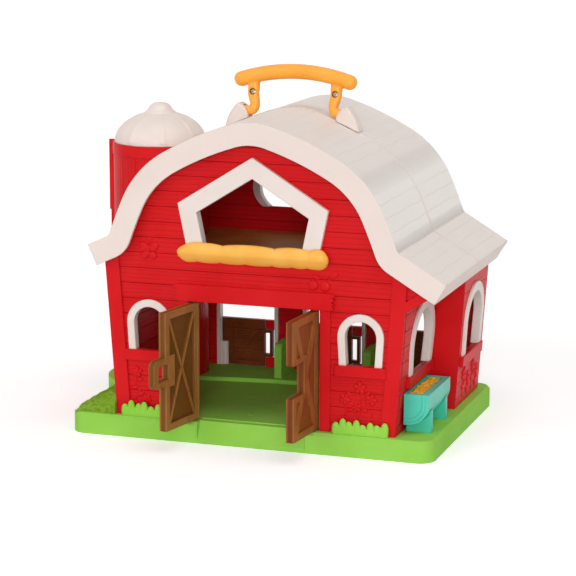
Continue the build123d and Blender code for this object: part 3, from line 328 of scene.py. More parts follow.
def along_wall(shade):
    x, y, _ = shade.axes()
    return shade.math("ADD", x, y)


def height_above(shade):
    return shade.axes()[2]


def around_silo(shade):
    x, y, _ = shade.axes()
    over_x, over_y = shade.math("SUBTRACT", x, SILO_X * MM), shade.math("SUBTRACT", y, SILO_Y * MM)
    return shade.math("MULTIPLY", shade.math("ARCTAN2", over_y, over_x), SILO_R * MM)


def brown_wood(name, light, mid, dark, run, pitch, unshaded_rim=None):
    """Brown boards; run names the axis of the grain. shallow(shade) is 1 on rims, 0 down in the panels, which
    get painted shade.
    """
    shade = Shade(name, 0.45, 0.16)
    x, y, z = shade.axes()
    flat = shade.math("ADD", x, y)
    along, across = {"z": (z, flat), "x": (x, y), "flat": (flat, z)}[run]
    joint, grain = wood(shade, along, across, pitch, 150.0)
    tone = shade.blotches(40.0, mid, light)
    if unshaded_rim:
        # painted shade: the panels sunk between the rims are taken most of the way to the dark colour
        deep = shade.mix(0.85, tone, dark)
        tone = shade.mix(unshaded_rim(shade), deep, tone)
    tone = shade.stain(tone, grain, 0.40, dark)
    tone = shade.stain(tone, joint, 0.45, dark)
    cuts = shade.math("ADD", shade.math("MULTIPLY", joint, 0.6), shade.math("MULTIPLY", grain, 0.4))
    relief = shade.math("SUBTRACT", shade.math("MULTIPLY", shade.noise(900.0), 0.08), cuts)
    return shade.finish(tone, 0.7, relief, 0.35)


def door_rim(axis_x, axis_y, turn):
    """For a door that stands turned at rest: how near a point is to either of its faces, 0 to 1; brown_wood
    paints shade into the panels where it is low.
    """
    angle = math.radians(turn)

    def measure(shade):
        x, y, _ = shade.axes()
        over_x = shade.math("MULTIPLY", shade.math("SUBTRACT", x, axis_x * MM), math.sin(angle))
        over_y = shade.math("MULTIPLY", shade.math("SUBTRACT", y, axis_y * MM), -math.cos(angle))
        far = shade.math("ABSOLUTE", shade.math("ADD", over_x, over_y))
        return shade.remap(far, 0.35 * DOOR_HALF * MM, 0.9 * DOOR_HALF * MM)
    return measure


def cream(name, low, high):
    shade = Shade(name, 0.44, 0.4)
    return shade.finish(shade.blotches(22.0, low, high), 0.9)


TO_STEEP, TO_EAVE = (80.0, 94.0), (108.0, 112.0)      # how far out the roof turns steep, and flat again
FLAT_SLOPE, STEEP_SLOPE = 1.135, -1.085               # length of the slope for each step in X, and in Z
SHAKE_ROW, SHAKE_WIDTH, SHAKE_GAP = 10.5, 8.8, 0.5
# painted light: a lighter, cooler tone for the upward faces and a painted highlight for the steep parts; the
# last colour darkens the joints between shakes
PAINTED_TOP_LIGHT, PAINTED_STEEP_HIGHLIGHT, GAP_TONE = rgb(240, 232, 226), rgb(250, 245, 240), rgb(200, 194, 190)


def down_the_roof(shade, side, z, steep, eave):
    """Distance down the slope: along X near the ridge and on the eaves, along Z on the steep part."""
    flat_run = shade.math("MULTIPLY", side, FLAT_SLOPE)
    steep_run = shade.math("MULTIPLY", z, STEEP_SLOPE)
    run = shade.node("ShaderNodeMix", {0: steep, 2: flat_run, 3: steep_run}, data_type="FLOAT")
    return shade.node("ShaderNodeMix", {0: eave, 2: run, 3: flat_run}, data_type="FLOAT")


def roofing(name, low, high):
    """Cream roof whose upper faces carry soft rows of shakes under a painted lighter, cooler tone, the steep
    parts a painted highlight; the gable fascia stays plain and warmer.
    """
    shade = Shade(name, 0.46, 0.4)
    x, y, z = shade.axes()
    side = shade.math("ABSOLUTE", x)
    steep, eave = (shade.remap(side, start * MM, end * MM) for start, end in (TO_STEEP, TO_EAVE))
    down = down_the_roof(shade, side, z, steep, eave)
    drift = shade.math("MULTIPLY", shade.noise(60.0, detail=2.0), 0.004)
    place = shade.vector(shade.math("ADD", y, drift), shade.math("ADD", down, drift), 0.0)
    gaps = shade.node("ShaderNodeTexBrick",
                      {"Vector": place, "Scale": 1.0, "Mortar Size": SHAKE_GAP * MM, "Mortar Smooth": 0.9,
                       "Brick Width": SHAKE_WIDTH * MM, "Row Height": SHAKE_ROW * MM}, out=1, offset=0.5)
    row = shade.math("FRACT", shade.math("DIVIDE", shade.math("ADD", down, drift), SHAKE_ROW * MM))
    facing = shade.facing()
    roof = shade.remap(shade.math("ABSOLUTE", facing[1]), 0.3, 0.1)
    mask = shade.math("MULTIPLY", roof, shade.remap(facing[2], 0.15, 0.3))
    shape = shade.math("SUBTRACT", shade.math("MULTIPLY", row, 0.45), shade.math("MULTIPLY", gaps, 0.4))
    wear = shade.math("MULTIPLY", shade.noise(110.0, detail=4.0), 1.1)
    relief = shade.math("MULTIPLY", shade.math("ADD", shape, wear), mask)
    tone = shade.blotches(22.0, low, high)
    # painted light: the upward faces taken towards a lighter, cooler tone
    tone = shade.stain(tone, mask, 0.6, PAINTED_TOP_LIGHT)
    # painted highlight: the steep parts lighter still
    wall = shade.math("MULTIPLY", shade.math("MULTIPLY", mask, steep), shade.math("SUBTRACT", 1.0, eave))
    tone = shade.stain(tone, wall, 0.7, PAINTED_STEEP_HIGHLIGHT)
    tone = shade.stain(tone, shade.math("MULTIPLY", gaps, mask), 0.07, GAP_TONE)
    return shade.finish(tone, 1.0, relief, 0.30)


def green(name, low, high):
    shade = Shade(name, 0.6, 0.04)
    tone = shade.blotches(24.0, low, high)
    return shade.finish(tone, 0.9, shade.math("MULTIPLY", shade.noise(500.0), 0.15), 0.25)


# a yellower tone for random patches, and a darker green painted as shade in the gaps between leaves
LEAF_YELLOW, LEAF_GAP_SHADE = rgb(184, 208, 24), rgb(132, 200, 44)


def mossy(name, low, high):
    """Small leaves with painted shade in the gaps between them, and yellower patches."""
    shade = Shade(name, 0.6, 0.04)
    tone = shade.blotches(24.0, low, high)
    leaf = shade.node("ShaderNodeTexVoronoi", {"Scale": 430.0, "Randomness": 1.0}, out=0)
    patch = shade.remap(shade.noise(120.0, detail=1.0), 0.52, 0.66, 0.0, 0.7)
    tone = shade.mix(patch, tone, LEAF_YELLOW)
    # painted shade: darker green where the surface sinks between the leaves
    tone = shade.mix(shade.remap(leaf, 0.25, 0.75, 0.0, 0.75), tone, LEAF_GAP_SHADE)
    relief = shade.math("SUBTRACT", shade.math("MULTIPLY", shade.noise(500.0), 0.1), leaf)
    return shade.finish(tone, 0.9, relief, 0.6)


def plastic(name, low, high, roughness=0.36, scale=30.0, edge=0.8):
    shade = Shade(name, roughness, 0.35)
    return shade.finish(shade.blotches(scale, low, high), edge)


def steel():
    shade = Shade("screw_steel", 0.32, 0.5)
    shade.shader.inputs["Metallic"].default_value = 0.9
    tone = shade.mix(shade.noise(400.0), rgb(150, 138, 120), rgb(186, 176, 158))
    return shade.finish(tone, 0.2, shade.noise(1500.0), 0.05)


RED = red("red_planks", along_wall, height_above)
FRONT_RED = red("red_front", along_wall, height_above, proud=beyond(in_front, PROUD - WALL_Y))
SIDE_RED = red("red_side", along_wall, height_above, proud=beyond(off_leaning_wall, SIDE_X + PROUD))
REAR_SIDE_RED = red("red_rear_side", along_wall, height_above,
                    proud=off_side(off_leaning_wall, REAR_SIDE_X + PROUD))
SILO = red("red_silo", height_above, around_silo, SILO_PLANK, beyond(off_silo_axis, SILO_R + PROUD))
PLAIN_RED = red("red_plain")
BOARDS = red("red_boards", along_wall, height_above, cut=False)
ROOF = roofing("cream_roof", rgb(230, 214, 206), rgb(234, 219, 211))
CREAM = cream("cream_plain", rgb(228, 213, 204), rgb(233, 218, 210))
TRIM = plastic("white_trim", rgb(230, 217, 209), rgb(235, 223, 216), edge=1.2)
# the third colour is both the stain of grain and joints and the painted shade in the door panels
LEFT_DOOR = brown_wood("left_door_brown", rgb(172, 116, 62), rgb(158, 104, 50), rgb(104, 62, 14),
                       "z", 10.5, door_rim(-DOOR_X, DOOR_Y, -LEFT_OPEN))
RIGHT_DOOR = brown_wood("right_door_brown", rgb(166, 102, 52), rgb(150, 88, 42), rgb(104, 46, 12),
                        "z", 10.5, door_rim(DOOR_X, DOOR_Y, RIGHT_OPEN))
GATE = brown_wood("gate_brown", rgb(128, 64, 28), rgb(110, 50, 18), rgb(66, 22, 4), "flat", 8.5)
LOFT = brown_wood("loft_brown", rgb(214, 140, 74), rgb(192, 118, 58), rgb(132, 70, 28), "x", 16.0)
BASE = green("base_green", rgb(143, 203, 76), rgb(151, 209, 88))
GRASS = green("grass_green", rgb(138, 206, 64), rgb(154, 214, 84))
BUSH = mossy("bush_green", rgb(192, 240, 84), rgb(212, 246, 112))
HAY = plastic("hay", rgb(246, 176, 70), rgb(250, 186, 84), 0.36, 60.0)
HANDLE = plastic("handle_orange", rgb(251, 164, 50), rgb(255, 174, 64), 0.34)
TEAL = plastic("trough_teal", rgb(72, 196, 172), rgb(86, 208, 186))
FEED = plastic("feed_yellow", rgb(246, 180, 26), rgb(252, 204, 66), 0.5, 420.0)
STEEL = steel()

FINISH = {"green_base": BASE, "red_wall": RED, "cream_roof": ROOF, "white_trim": TRIM, "red_silo": SILO,
          "cream_dome": CREAM, "hay": HAY, "handle_orange": HANDLE, "screw_steel": STEEL, "teal_trough": TEAL,
          "feed_yellow": FEED, "bush_green": BUSH, "loft_brown": LOFT}
OWN = {"front_wall": FRONT_RED, "right_wall": SIDE_RED, "rear_right_wall": REAR_SIDE_RED,
       "handle_ear_left": CREAM, "handle_ear_right": CREAM, "front_left_door": LEFT_DOOR,
       "front_right_door": RIGHT_DOOR}
for letter in "abc":
    OWN["stall_gate_" + letter] = GATE
    OWN["stall_keeper_" + letter] = PLAIN_RED
SLOTS = {entry["node"]: entry["material_slot"] for entry in frame["record"]["subparts"]}
for name, item in nodes.items():
    for place in item.material_slots:
        place.material = OWN.get(name) or FINISH[SLOTS[name]]


# ---- Mesh kit: pieces are drawn in millimetres -------------------------------------------------------
def skin(bm, rings):
    """A closed body through rings of points that all have the same number of corners."""
    rows = [[bm.verts.new(point) for point in ring] for ring in rings]
    for lower, upper in zip(rows, rows[1:]):
        for index in range(len(lower)):
            bm.faces.new((lower[index - 1], lower[index], upper[index], upper[index - 1]))
    bm.faces.new(rows[0][::-1])
    bm.faces.new(rows[-1])


def circle(count):
    """Angles once around, in radians."""
    return [2.0 * math.pi * index / count for index in range(count)]


def take_place(piece, body, stands_for):
    """Says which body the piece moves with and the CAD nodes it stands for."""
    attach(piece, body)
    if stands_for:
        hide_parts(*stands_for)


def make_piece(name, bm, body, material, stands_for=(), crease=40.0):
    """Turns a drawing in millimetres into a piece that rides on a body of the frame. Without a body it
    is a blank that is worked on later."""
    bmesh.ops.remove_doubles(bm, verts=bm.verts, dist=0.002)
    bmesh.ops.dissolve_degenerate(bm, edges=bm.edges, dist=0.001)
    bmesh.ops.recalc_face_normals(bm, faces=bm.faces)
    bm.transform(Matrix.Scale(MM, 4))
    for face in bm.faces:
        face.smooth = True
    for edge in bm.edges:
        edge.smooth = edge.calc_face_angle(0.0) < math.radians(crease)
    mesh = bpy.data.meshes.new(name)
    bm.to_mesh(mesh)
    bm.free()
    mesh.materials.append(material)
    made = bpy.data.objects.new(name, mesh)
    scene.collection.objects.link(made)
    if body:
        take_place(made, body, stands_for)
    return made


def shaped_by(piece, *steps):
    """Runs modifiers, given as (kind, settings), and keeps their result as the piece's mesh."""
    for kind, settings in steps:
        modifier = piece.modifiers.new(kind, kind)
        for key, value in settings.items():
            setattr(modifier, key, value)
    seen = piece.evaluated_get(bpy.context.evaluated_depsgraph_get())
    mesh = bpy.data.meshes.new_from_object(seen)
    piece.modifiers.clear()
    piece.data = mesh


def cut_by(piece, tool, operation="DIFFERENCE", **more):
    """Keeps what the tool leaves of the piece, or with INTERSECT what both share. The tool goes."""
    shaped_by(piece, ("BOOLEAN", {"operation": operation, "object": tool, "solver": "EXACT", **more}))
    bpy.data.objects.remove(tool)


def settle(piece, body, material, stands_for=(), crease=None):
    """Gives a piece that was made by modifiers its shading, finish and body. Without a crease, in
    degrees, its faces stay flat."""
    for polygon in piece.data.polygons:
        polygon.use_smooth = crease is not None
    if crease is not None:
        piece.data.set_sharp_from_angle(angle=math.radians(crease))
    piece.data.materials.clear()
    piece.data.materials.append(material)
    take_place(piece, body, stands_for)


def smooth_route(points):
    """Points along a smooth line through the given ones."""
    route = []
    steps = 6
    padded = [points[0]] + list(points) + [points[-1]]
    for before, start, end, after in zip(padded, padded[1:], padded[2:], padded[3:]):
        for step in range(steps):
            t = step / steps
            route.append(tuple(0.5 * (2 * b + (c - a) * t + (2 * a - 5 * b + 4 * c - d) * t * t
                                      + (3 * b - a - 3 * c + d) * t ** 3)
                               for a, b, c, d in zip(before, start, end, after)))
    return route + [tuple(points[-1])]


# ---- Planks moulded on the walls ---------------------------------------------------------------------
PLANK_ROWS = range(1, 22)       # from the base up past the ridge
BAND_REACH = 200.0              # half the length of a band, more than any wall
BAND_OUT = (-0.05, 0.55)        # how far off the wall a band starts and ends, past PLANK_RISE


def make_planks(wall, axis, side, flat, lean=0.0):
    """A thin skin over the wall face that looks along an axis, parted at the joints between the planks:
    a copy of the wall, moved out, of which only what lies in flat bands in front of it is kept."""
    def at(along, z, out):
        reach = side * (flat + lean * (z - BASE_TOP) + out)
        return (reach, along, z) if axis == "X" else (along, reach, z)

    bm = bmesh.new()
    bm.from_mesh(nodes[wall].data)
    bm.transform(Matrix.Scale(1.0 / MM, 4) @ nodes[wall].matrix_world)
    shift = Vector(at(0.0, 0.0, PLANK_RISE)) - Vector(at(0.0, 0.0, 0.0))
    bm.transform(Matrix.Translation(shift))
    planks = make_piece(wall + "_planks", bm, None, BOARDS)
    bm = bmesh.new()
    for row in PLANK_ROWS:
        low, high = row * PLANK + 0.5 * PLANK_GAP, (row + 1) * PLANK - 0.5 * PLANK_GAP
        corners = ((-BAND_REACH, low), (BAND_REACH, low), (BAND_REACH, high), (-BAND_REACH, high))
        skin(bm, [[at(along, z, out) for along, z in corners] for out in BAND_OUT])
    cut_by(planks, make_piece("bands", bm, None, BOARDS), "INTERSECT")
    settle(planks, "barn", BOARDS)


make_planks("front_wall", "Y", -1, -WALL_Y)
make_planks("rear_wall", "Y", 1, REAR_Y)
make_planks("left_wall", "X", -1, SIDE_X, LEAN)
make_planks("right_wall", "X", 1, SIDE_X, LEAN)
make_planks("rear_right_wall", "X", 1, REAR_SIDE_X, LEAN)


# ---- Hay bundle under the loft's opening -------------------------------------------------------------
HAY_Z, HAY_R, HAY_DEEP = 143.2, 8.0, 4.4
HAY_BACK, HAY_STEP, HAY_FOOT = -90.9, 3.8, 139.5
HAY_TOP = (-58.3, -22.5, 17.5, 43.5, 58.3)                        # where its swellings meet, above
HAY_LOW = (-58.3, -43.0, -25.5, -6.0, 14.5, 30.0, 41.0, 58.3)     # and below


def swelling(x, joints, waist):
    """1 in the middle of each swelling, `waist` where two meet and 0 at both ends of the bundle."""
    index = next(i for i, end in enumerate(joints[1:]) if x <= end + 1e-6)
    t = min(1.0, max(0.0, (x - joints[index]) / (joints[index + 1] - joints[index])))
    at_end = (index == 0 and t < 0.5) or (index == len(joints) - 2 and t > 0.5)
    low = 0.0 if at_end else waist
    return low + (1.0 - low) * math.sqrt(max(0.0, math.sin(math.pi * t)))


def make_hay():
    bm = bmesh.new()
    rings = []
    stations, parts = 200, 24
    for step in range(stations + 1):
        x = HAY_TOP[0] + (HAY_TOP[-1] - HAY_TOP[0]) * 0.5 * (1.0 - math.cos(math.pi * step / stations))
        above = swelling(x, HAY_TOP, 0.76)
        below = swelling(x, HAY_LOW, 0.86)
        ring = []
        for part in range(parts + 1):
            angle = math.pi * (part / parts - 0.5)
            upper = 0.5 + 0.5 * math.sin(angle)
            size = upper * above + (1.0 - upper) * below
            # the back steps out over the feet of the loft's frame
            back = HAY_BACK + HAY_STEP * max(0.0, -math.sin(angle)) * size
            ring.append((x, back - HAY_DEEP * size * math.cos(angle), HAY_Z + HAY_R * size * math.sin(angle)))
        foot = max(ring[0][2] + 0.01, HAY_FOOT)
        ring += [(x, HAY_BACK, foot), (x, ring[0][1], foot - 0.005)]
        rings.append(ring)
    skin(bm, rings)
    make_piece("hay_bundle", bm, "barn", HAY, ["hay_sill"], 60.0)


make_hay()


# ---- Silo dome with its ribs and cap -----------------------------------------------------------------
def make_dome():
    radius, height = 35.8, 24.5
    rib_count, rib_height, first_rib, rib_steps = 8, 0.55, math.radians(-65.0), 30
    rib_flat, rib_edge = math.radians(3.0), math.radians(1.5)
    wall, rim_top, cap_radius = 2.4, 1.4, 12.4
    cap = ((12.0, 23.7), (11.6, 24.3), (10.6, 24.9), (9.7, 25.8), (9.0, 27.0), (8.2, 28.3), (7.0, 29.5),
           (5.4, 30.4), (3.2, 30.9), (1.0, 31.0))
    # every ring is (radius, height, how far the ribs stand out, 0 to 1)
    rim = [(radius, 0.0, 0.0), (radius + 0.5, 0.1, 0.0), (radius + 0.5, 1.1, 0.0), (radius - 0.1, 1.3, 0.6)]
    top = math.acos(cap_radius / radius)

    def bowl(steps, inset, ribbed):
        turns = [top * step / steps for step in range(steps + 1)]
        return [((radius - inset) * math.cos(t), (height - inset) * math.sin(t), ribbed) for t in turns]

    outside = rim + [point for point in bowl(18, 0.0, 1.0) if point[1] > rim_top]
    outside += [(r, z, 0.0) for r, z in cap]
    bm = bmesh.new()
    rings = []
    for r, z, ribbed in bowl(6, wall, 0.0)[::-1] + outside:
        ring = []
        for angle in circle(rib_count * rib_steps):
            pitch = 2.0 * math.pi / rib_count
            off = abs((angle - first_rib + pitch / 2) % pitch - pitch / 2)
            rib = min(1.0, max(0.0, (rib_flat + rib_edge - off) / rib_edge))
            reach = r + ribbed * rib_height * rib * rib * (3.0 - 2.0 * rib)
            ring.append((SILO_X + reach * math.cos(angle), SILO_Y + reach * math.sin(angle), SILO_TOP + z))
        rings.append(ring)
    skin(bm, rings)
    make_piece("dome", bm, "barn", CREAM, ["silo_dome"], 50.0)


make_dome()


# ---- Garden: grass blades and the leafy heap ---------------------------------------------------------
BLADE_PITCH, GRASS_Y = 5.3, -91.0


def blade(bm, x, y, height, half_width, half_depth, lean):
    """A blade of grass with a rounded tip, leaning along X."""
    rings = []
    steps = 12
    for step in range(steps + 1):
        t = math.sin(0.5 * math.pi * step / steps)
        width = math.sqrt(max(0.0004, 1.0 - t ** 6)) * (0.9 + 0.1 * math.sin(math.pi * t))
        rings.append([(x + lean * t + half_width * width * math.cos(a), y + half_depth * width * math.sin(a),
                       BASE_TOP + height * t) for a in circle(12)])
    skin(bm, rings)


def make_grass():
    heights = (9.0, 12.0, 10.0, 11.5, 8.5, 10.5, 9.0, 11.0)
    for name, start in (("grass_left", -103.9), ("grass_right", 61.5)):
        chance = random.Random(name)
        bm = bmesh.new()
        for index, height in enumerate(heights):
            x = start + BLADE_PITCH * (index + 0.5)
            blade(bm, x, GRASS_Y, height - 0.3, 2.9, 1.55, chance.uniform(-0.6, 0.6))
            if index:
                low = height * chance.uniform(0.5, 0.68)
                blade(bm, x - 0.5 * BLADE_PITCH, GRASS_Y - 0.3, low, 2.5, 1.3, chance.uniform(-0.5, 0.5))
        make_piece(name + "_blades", bm, "barn", GRASS, [name], 60.0)


make_grass()


def quarter_round(share):
    """Height of a quarter circle of radius 1 at that share of its way in."""
    return math.sqrt(max(0.0, 1.0 - (1.0 - share) ** 2))


def make_bush():
    left, right, front, back, height = -142.4, -108.9, -92.4, 4.2, 23.9
    end_round, toe_round = 10.0, 7.0
    edge_height, rise = 2.4, 14.2
    columns, rows = 70, 200
    clump_size, leaf_size = 5.2, 2.9
    bm = bmesh.new()
    grid = []
    for row in range(rows + 1):
        t = row / rows
        y = front + (back - front) * (t - 0.10 * math.sin(2.0 * math.pi * t))
        line = []
        for column in range(columns + 1):
            u = (column / columns) ** 1.25
            x = left + (right - left) * u
            ends = min(1.0, min(y - front, back - y) / end_round)
            toe = min(1.0, (x - left) / toe_round)
            round_off = quarter_round(ends) * quarter_round(toe)
            swell = noise.noise(Vector((x * 0.09, y * 0.06, 3.0)))
            z = round_off * (edge_height + rise * u ** 0.85 + 1.8 * swell)
            line.append(bm.verts.new((x, y, BASE_TOP + z)))
        grid.append(line)
    for lower, upper in zip(grid, grid[1:]):
        for column in range(columns):
            bm.faces.new((lower[column], lower[column + 1], upper[column + 1], upper[column]))
    # clumps of leaves stand out along the surface
    bm.normal_update()
    moves = {}
    for vert in bm.verts:
        clump = 1.0 - min(1.0, noise.voronoi(vert.co / clump_size)[0][0])
        leaf = math.sqrt(max(0.0, 1.0 - (noise.voronoi(vert.co / leaf_size)[0][0] / 0.72) ** 2))
        out = vert.normal if vert.normal.z > 0 else -vert.normal
        moves[vert] = vert.co + out * (1.6 * clump + 1.8 * leaf - 2.0)
    for vert, place in moves.items():
        vert.co = (min(right, max(left, place.x)), min(back, max(front, place.y)),
                   min(BASE_TOP + height, max(BASE_TOP + 0.1, place.z)))
    rim = [edge for edge in bm.edges if edge.is_boundary]
    walls = bmesh.ops.extrude_edge_only(bm, edges=rim)["geom"]
    for vert in (item for item in walls if isinstance(item, bmesh.types.BMVert)):
        vert.co.z = BASE_TOP
    bmesh.ops.holes_fill(bm, edges=[edge for edge in bm.edges if edge.is_boundary])
    make_piece("leafy_heap", bm, "barn", BUSH, ["bush"], 75.0)


make_bush()

# ---- Carrying handle ---------------------------------------------------------------------------------
# The handle is drawn upright, its hinge axis through the origin. HANDLE_AT leans it back on the ridge.
HANDLE_AT = (Matrix.Scale(MM, 4) @ Matrix.Translation((0.0, 4.5, 237.6))
             @ Matrix.Rotation(math.radians(-10.0), 4, "X") @ Matrix.Scale(1.0 / MM, 4))
GRIP_END, GRIP_TOP, GRIP_HALF = 23.7, 30.6, 43.0
GRIP_TALL, GRIP_DEEP = 5.7, 6.25        # half the grip's thickness, up and to the rear
SQUARE = 0.8                            # exponent of its section: 1 is an ellipse, less is squarer
SCREW_X, SCREW_RISE, RECESS_R = 32.8, 14.2, 2.6


def swept(bm, stations):
    """A body along a route in the handle's plane: stations are (x, rise, half height, half depth)."""
    rings = []
    for index, (x, z, half, deep) in enumerate(stations):
        before = stations[max(0, index - 1)]
        after = stations[min(len(stations) - 1, index + 1)]
        way = Vector((after[0] - before[0], 0.0, after[1] - before[1])).normalized()
        aside = Vector((-way.z, 0.0, way.x))
        ring = []
        for angle in circle(28):
            c, s = math.cos(angle), math.sin(angle)
            c, s = math.copysign(abs(c) ** SQUARE, c), math.copysign(abs(s) ** SQUARE, s)
            ring.append(Vector((x, 0.0, z)) + aside * (half * c) + Vector((0.0, deep * s, 0.0)))
        rings.append(ring)
    skin(bm, rings)


def at_screw(side, across, up, forward):
    """A point of the handle, measured from a screw's axis."""
    return side * SCREW_X + across, -forward, SCREW_RISE + up


def make_handle():
    bm = bmesh.new()
    # the grip: an arc whose ends are rounded off
    rise = GRIP_TOP - GRIP_END
    radius = (GRIP_HALF ** 2 + rise ** 2) / (2.0 * rise)
    spread = math.asin(GRIP_HALF / radius)
    tip = GRIP_TALL / radius
    stations = []
    steps = 60
    for step in range(steps + 1):
        turn = (spread + tip) * math.sin(math.pi * (step / steps - 0.5))
        past_end = max(0.0, abs(turn) - spread) / tip
        size = math.sqrt(max(0.003, 1.0 - past_end ** 2))
        stations.append((radius * math.sin(turn), GRIP_TOP - radius * (1.0 - math.cos(turn)),
                         GRIP_TALL * size, GRIP_DEEP * size))
    swept(bm, stations)
    # the legs: from inside the grip down to a hook that turns out into the ears
    for side in (-1, 1):
        leg = smooth_route([(33.4, 24.5, 4.9, 3.8), (32.9, 18.0, 4.5, 3.8), (32.9, 12.5, 4.3, 3.8),
                            (31.6, 7.0, 3.8, 3.8), (31.3, 3.2, 3.5, 3.7), (32.6, 0.6, 3.5, 3.6),
                            (35.2, 0.0, 3.7, 3.7), (41.0, 0.0, 3.7, 3.7)])
        swept(bm, [(side * x, z, half, deep) for x, z, half, deep in leg])
        pin = [(40.0, 0.0, 2.2, 2.2), (46.0, 0.0, 2.2, 2.2)]
        swept(bm, [(side * x, z, half, deep) for x, z, half, deep in pin])
    handle = make_piece("handle_body", bm, None, HANDLE)
    voxel = {"mode": "VOXEL", "voxel_size": 0.55 * MM, "use_smooth_shade": True}
    shaped_by(handle, ("REMESH", voxel), ("SMOOTH", {"factor": 0.5, "iterations": 5}))
    bm = bmesh.new()
    for side in (-1, 1):
        skin(bm, [[at_screw(side, RECESS_R * math.cos(a), RECESS_R * math.sin(a), y) for a in circle(40)]
                  for y in (0.6, 9.0)])
    cut_by(handle, make_piece("screw_recess", bm, None, HANDLE))
    handle.data.transform(HANDLE_AT)
    settle(handle, "handle", HANDLE, ["handle_front_shell", "handle_rear_shell"], 50.0)


make_handle()


def make_screws():
    """Two pan-head screws with cross recesses, sunk in the legs."""
    head = ((1.3, -2.0), (1.3, 0.8), (2.2, 0.85), (2.3, 1.2), (2.1, 1.9), (1.6, 2.2), (1.0, 2.3))
    first_turn, long, wide = 0.35, 1.5, 0.3
    slot = ((-long, -wide), (long, -wide), (long, wide), (-long, wide))
    bm = bmesh.new()
    for side in (-1, 1):
        skin(bm, [[at_screw(side, r * math.cos(a), r * math.sin(a), y) for a in circle(40)] for r, y in head])
    screws = make_piece("cross_screws", bm, None, STEEL)
    bm = bmesh.new()
    for side in (-1, 1):
        middle = Vector(at_screw(side, 0.0, 0.0, 0.0))
        for turn in (first_turn, first_turn + math.pi / 2):
            along = Vector((math.cos(turn), 0.0, math.sin(turn)))
            over = Vector((-along.z, 0.0, along.x))
            corners = [middle + along * a + over * b for a, b in slot]
            skin(bm, [[corner + Vector((0.0, -y, 0.0)) for corner in corners] for y in (1.5, 4.0)])
    cut_by(screws, make_piece("cross_cut", bm, None, STEEL), use_self=True)
    screws.data.transform(HANDLE_AT)
    settle(screws, "handle", STEEL, ["handle_screws"], 35.0)


make_screws()


# ---- Raised ornament on the walls --------------------------------------------------------------------
class Carving:
    """Shapes raised from a flat face. u runs to the right, v up and the relief outwards."""

    def __init__(self, origin, right, up):
        self.origin = Vector(origin)
        self.right, self.up = Vector(right).normalized(), Vector(up).normalized()
        self.out = self.right.cross(self.up)
        self.bm = bmesh.new()

    def at(self, u, v, height):
        return self.origin + self.right * u + self.up * v + self.out * height

    def pad(self, u, v, half_u, half_v, turn, height):
        """A low rounded pad, turned by so many degrees."""
        c, s = math.cos(math.radians(turn)), math.sin(math.radians(turn))
        levels = ((1.0, -0.4), (1.0, 0.15 * height), (0.93, 0.55 * height), (0.75, 0.85 * height),
                  (0.45, height), (0.1, 1.03 * height))
        skin(self.bm, [[self.at(u + size * (half_u * math.cos(a) * c - half_v * math.sin(a) * s),
                                v + size * (half_u * math.cos(a) * s + half_v * math.sin(a) * c), rise)
                        for a in circle(20)] for size, rise in levels])

    def stem(self, points, radius=0.55):
        """A thin raised line through the points, half sunk in the face."""
        route = smooth_route(points)
        rings = []
        for index, (u, v) in enumerate(route):
            before, after = route[max(0, index - 1)], route[min(len(route) - 1, index + 1)]
            way = Vector((after[0] - before[0], after[1] - before[1])).normalized()
            rings.append([self.at(u - way.y * radius * math.cos(a), v + way.x * radius * math.cos(a),
                                  radius * math.sin(a)) for a in circle(10)])
        skin(self.bm, rings)

    def pad_beside(self, u, v, turn, far, long, wide, height):
        """A pad that lies lengthwise along a turn, its middle that far from the point."""
        angle = math.radians(turn)
        self.pad(u + far * math.cos(angle), v + far * math.sin(angle), long, wide, turn, height)

    def flower(self, u, v, size, turn):
        for petal in range(5):
            self.pad_beside(u, v, turn + 72.0 * petal, size * 0.62, size * 0.5, size * 0.4, 1.3)
        self.pad(u, v, size * 0.32, size * 0.32, 0.0, 1.9)

    def leaf(self, u, v, size, turn):
        self.pad_beside(u, v, turn, size * 0.5, size * 0.55, size * 0.3, 1.2)

    def finish(self, name, material, slot):
        make_piece(name, self.bm, "barn", material, crease=60.0)


def carve_butterfly(face, u, v):
    for side in (-1, 1):
        face.pad(u + side * 3.9, v + 2.8, 4.4, 3.2, side * 40.0, 1.4)
        face.pad(u + side * 3.1, v - 3.6, 3.4, 2.8, side * -35.0, 1.4)
        face.stem([(u, v + 4.0), (u + side * 1.5, v + 7.4), (u + side * 3.2, v + 8.4)], 0.5)
    face.pad(u, v, 1.2, 5.2, 0.0, 2.0)


def carve_cherries(face):
    joint_u, joint_v = 58.5, 130.4
    for u, v in ((45.6, 124.0), (54.8, 123.6)):
        face.pad(u, v, 4.0, 3.8, 0.0, 1.6)
        face.stem([(u, v + 3.4), (u * 0.6 + 21.5, v + 5.6), (joint_u, joint_v)], 0.5)
    face.leaf(joint_u, joint_v, 6.5, 28.0)
    face.leaf(50.6, 129.2, 5.5, 160.0)


def carve_climber(face):
    face.stem([(-90.0, 22.0), (-93.5, 28.0), (-90.0, 34.0), (-93.5, 40.0), (-92.0, 46.0)])
    for u, v, turn in ((-92.5, 26.0, 200), (-91.5, 31.5, 20), (-92.0, 37.5, 190), (-92.8, 43.0, 10)):
        face.leaf(u, v, 5.0, turn)
    face.flower(-92.5, 49.0, 4.0, 18.0)
    face.flower(-84.5, 29.0, 3.2, 50.0)


def carve_front_flowers(face):
    foot = 29.5
    for u, v, size, turn in ((81.4, 50.6, 4.6, 18), (70.2, 41.6, 4.2, 60), (90.0, 42.2, 4.2, 0),
                             (79.0, 35.5, 3.4, 35)):
        face.flower(u, v, size, turn)
        face.stem([(u, v - size), (u + 1.2, v - size - 4.0), (u, foot)], 0.5)
    for u, v, turn in ((75.5, 44.5, 150), (85.5, 45.5, 30), (72.5, 33.0, 20), (87.5, 33.5, 160)):
        face.leaf(u, v, 4.6, turn)


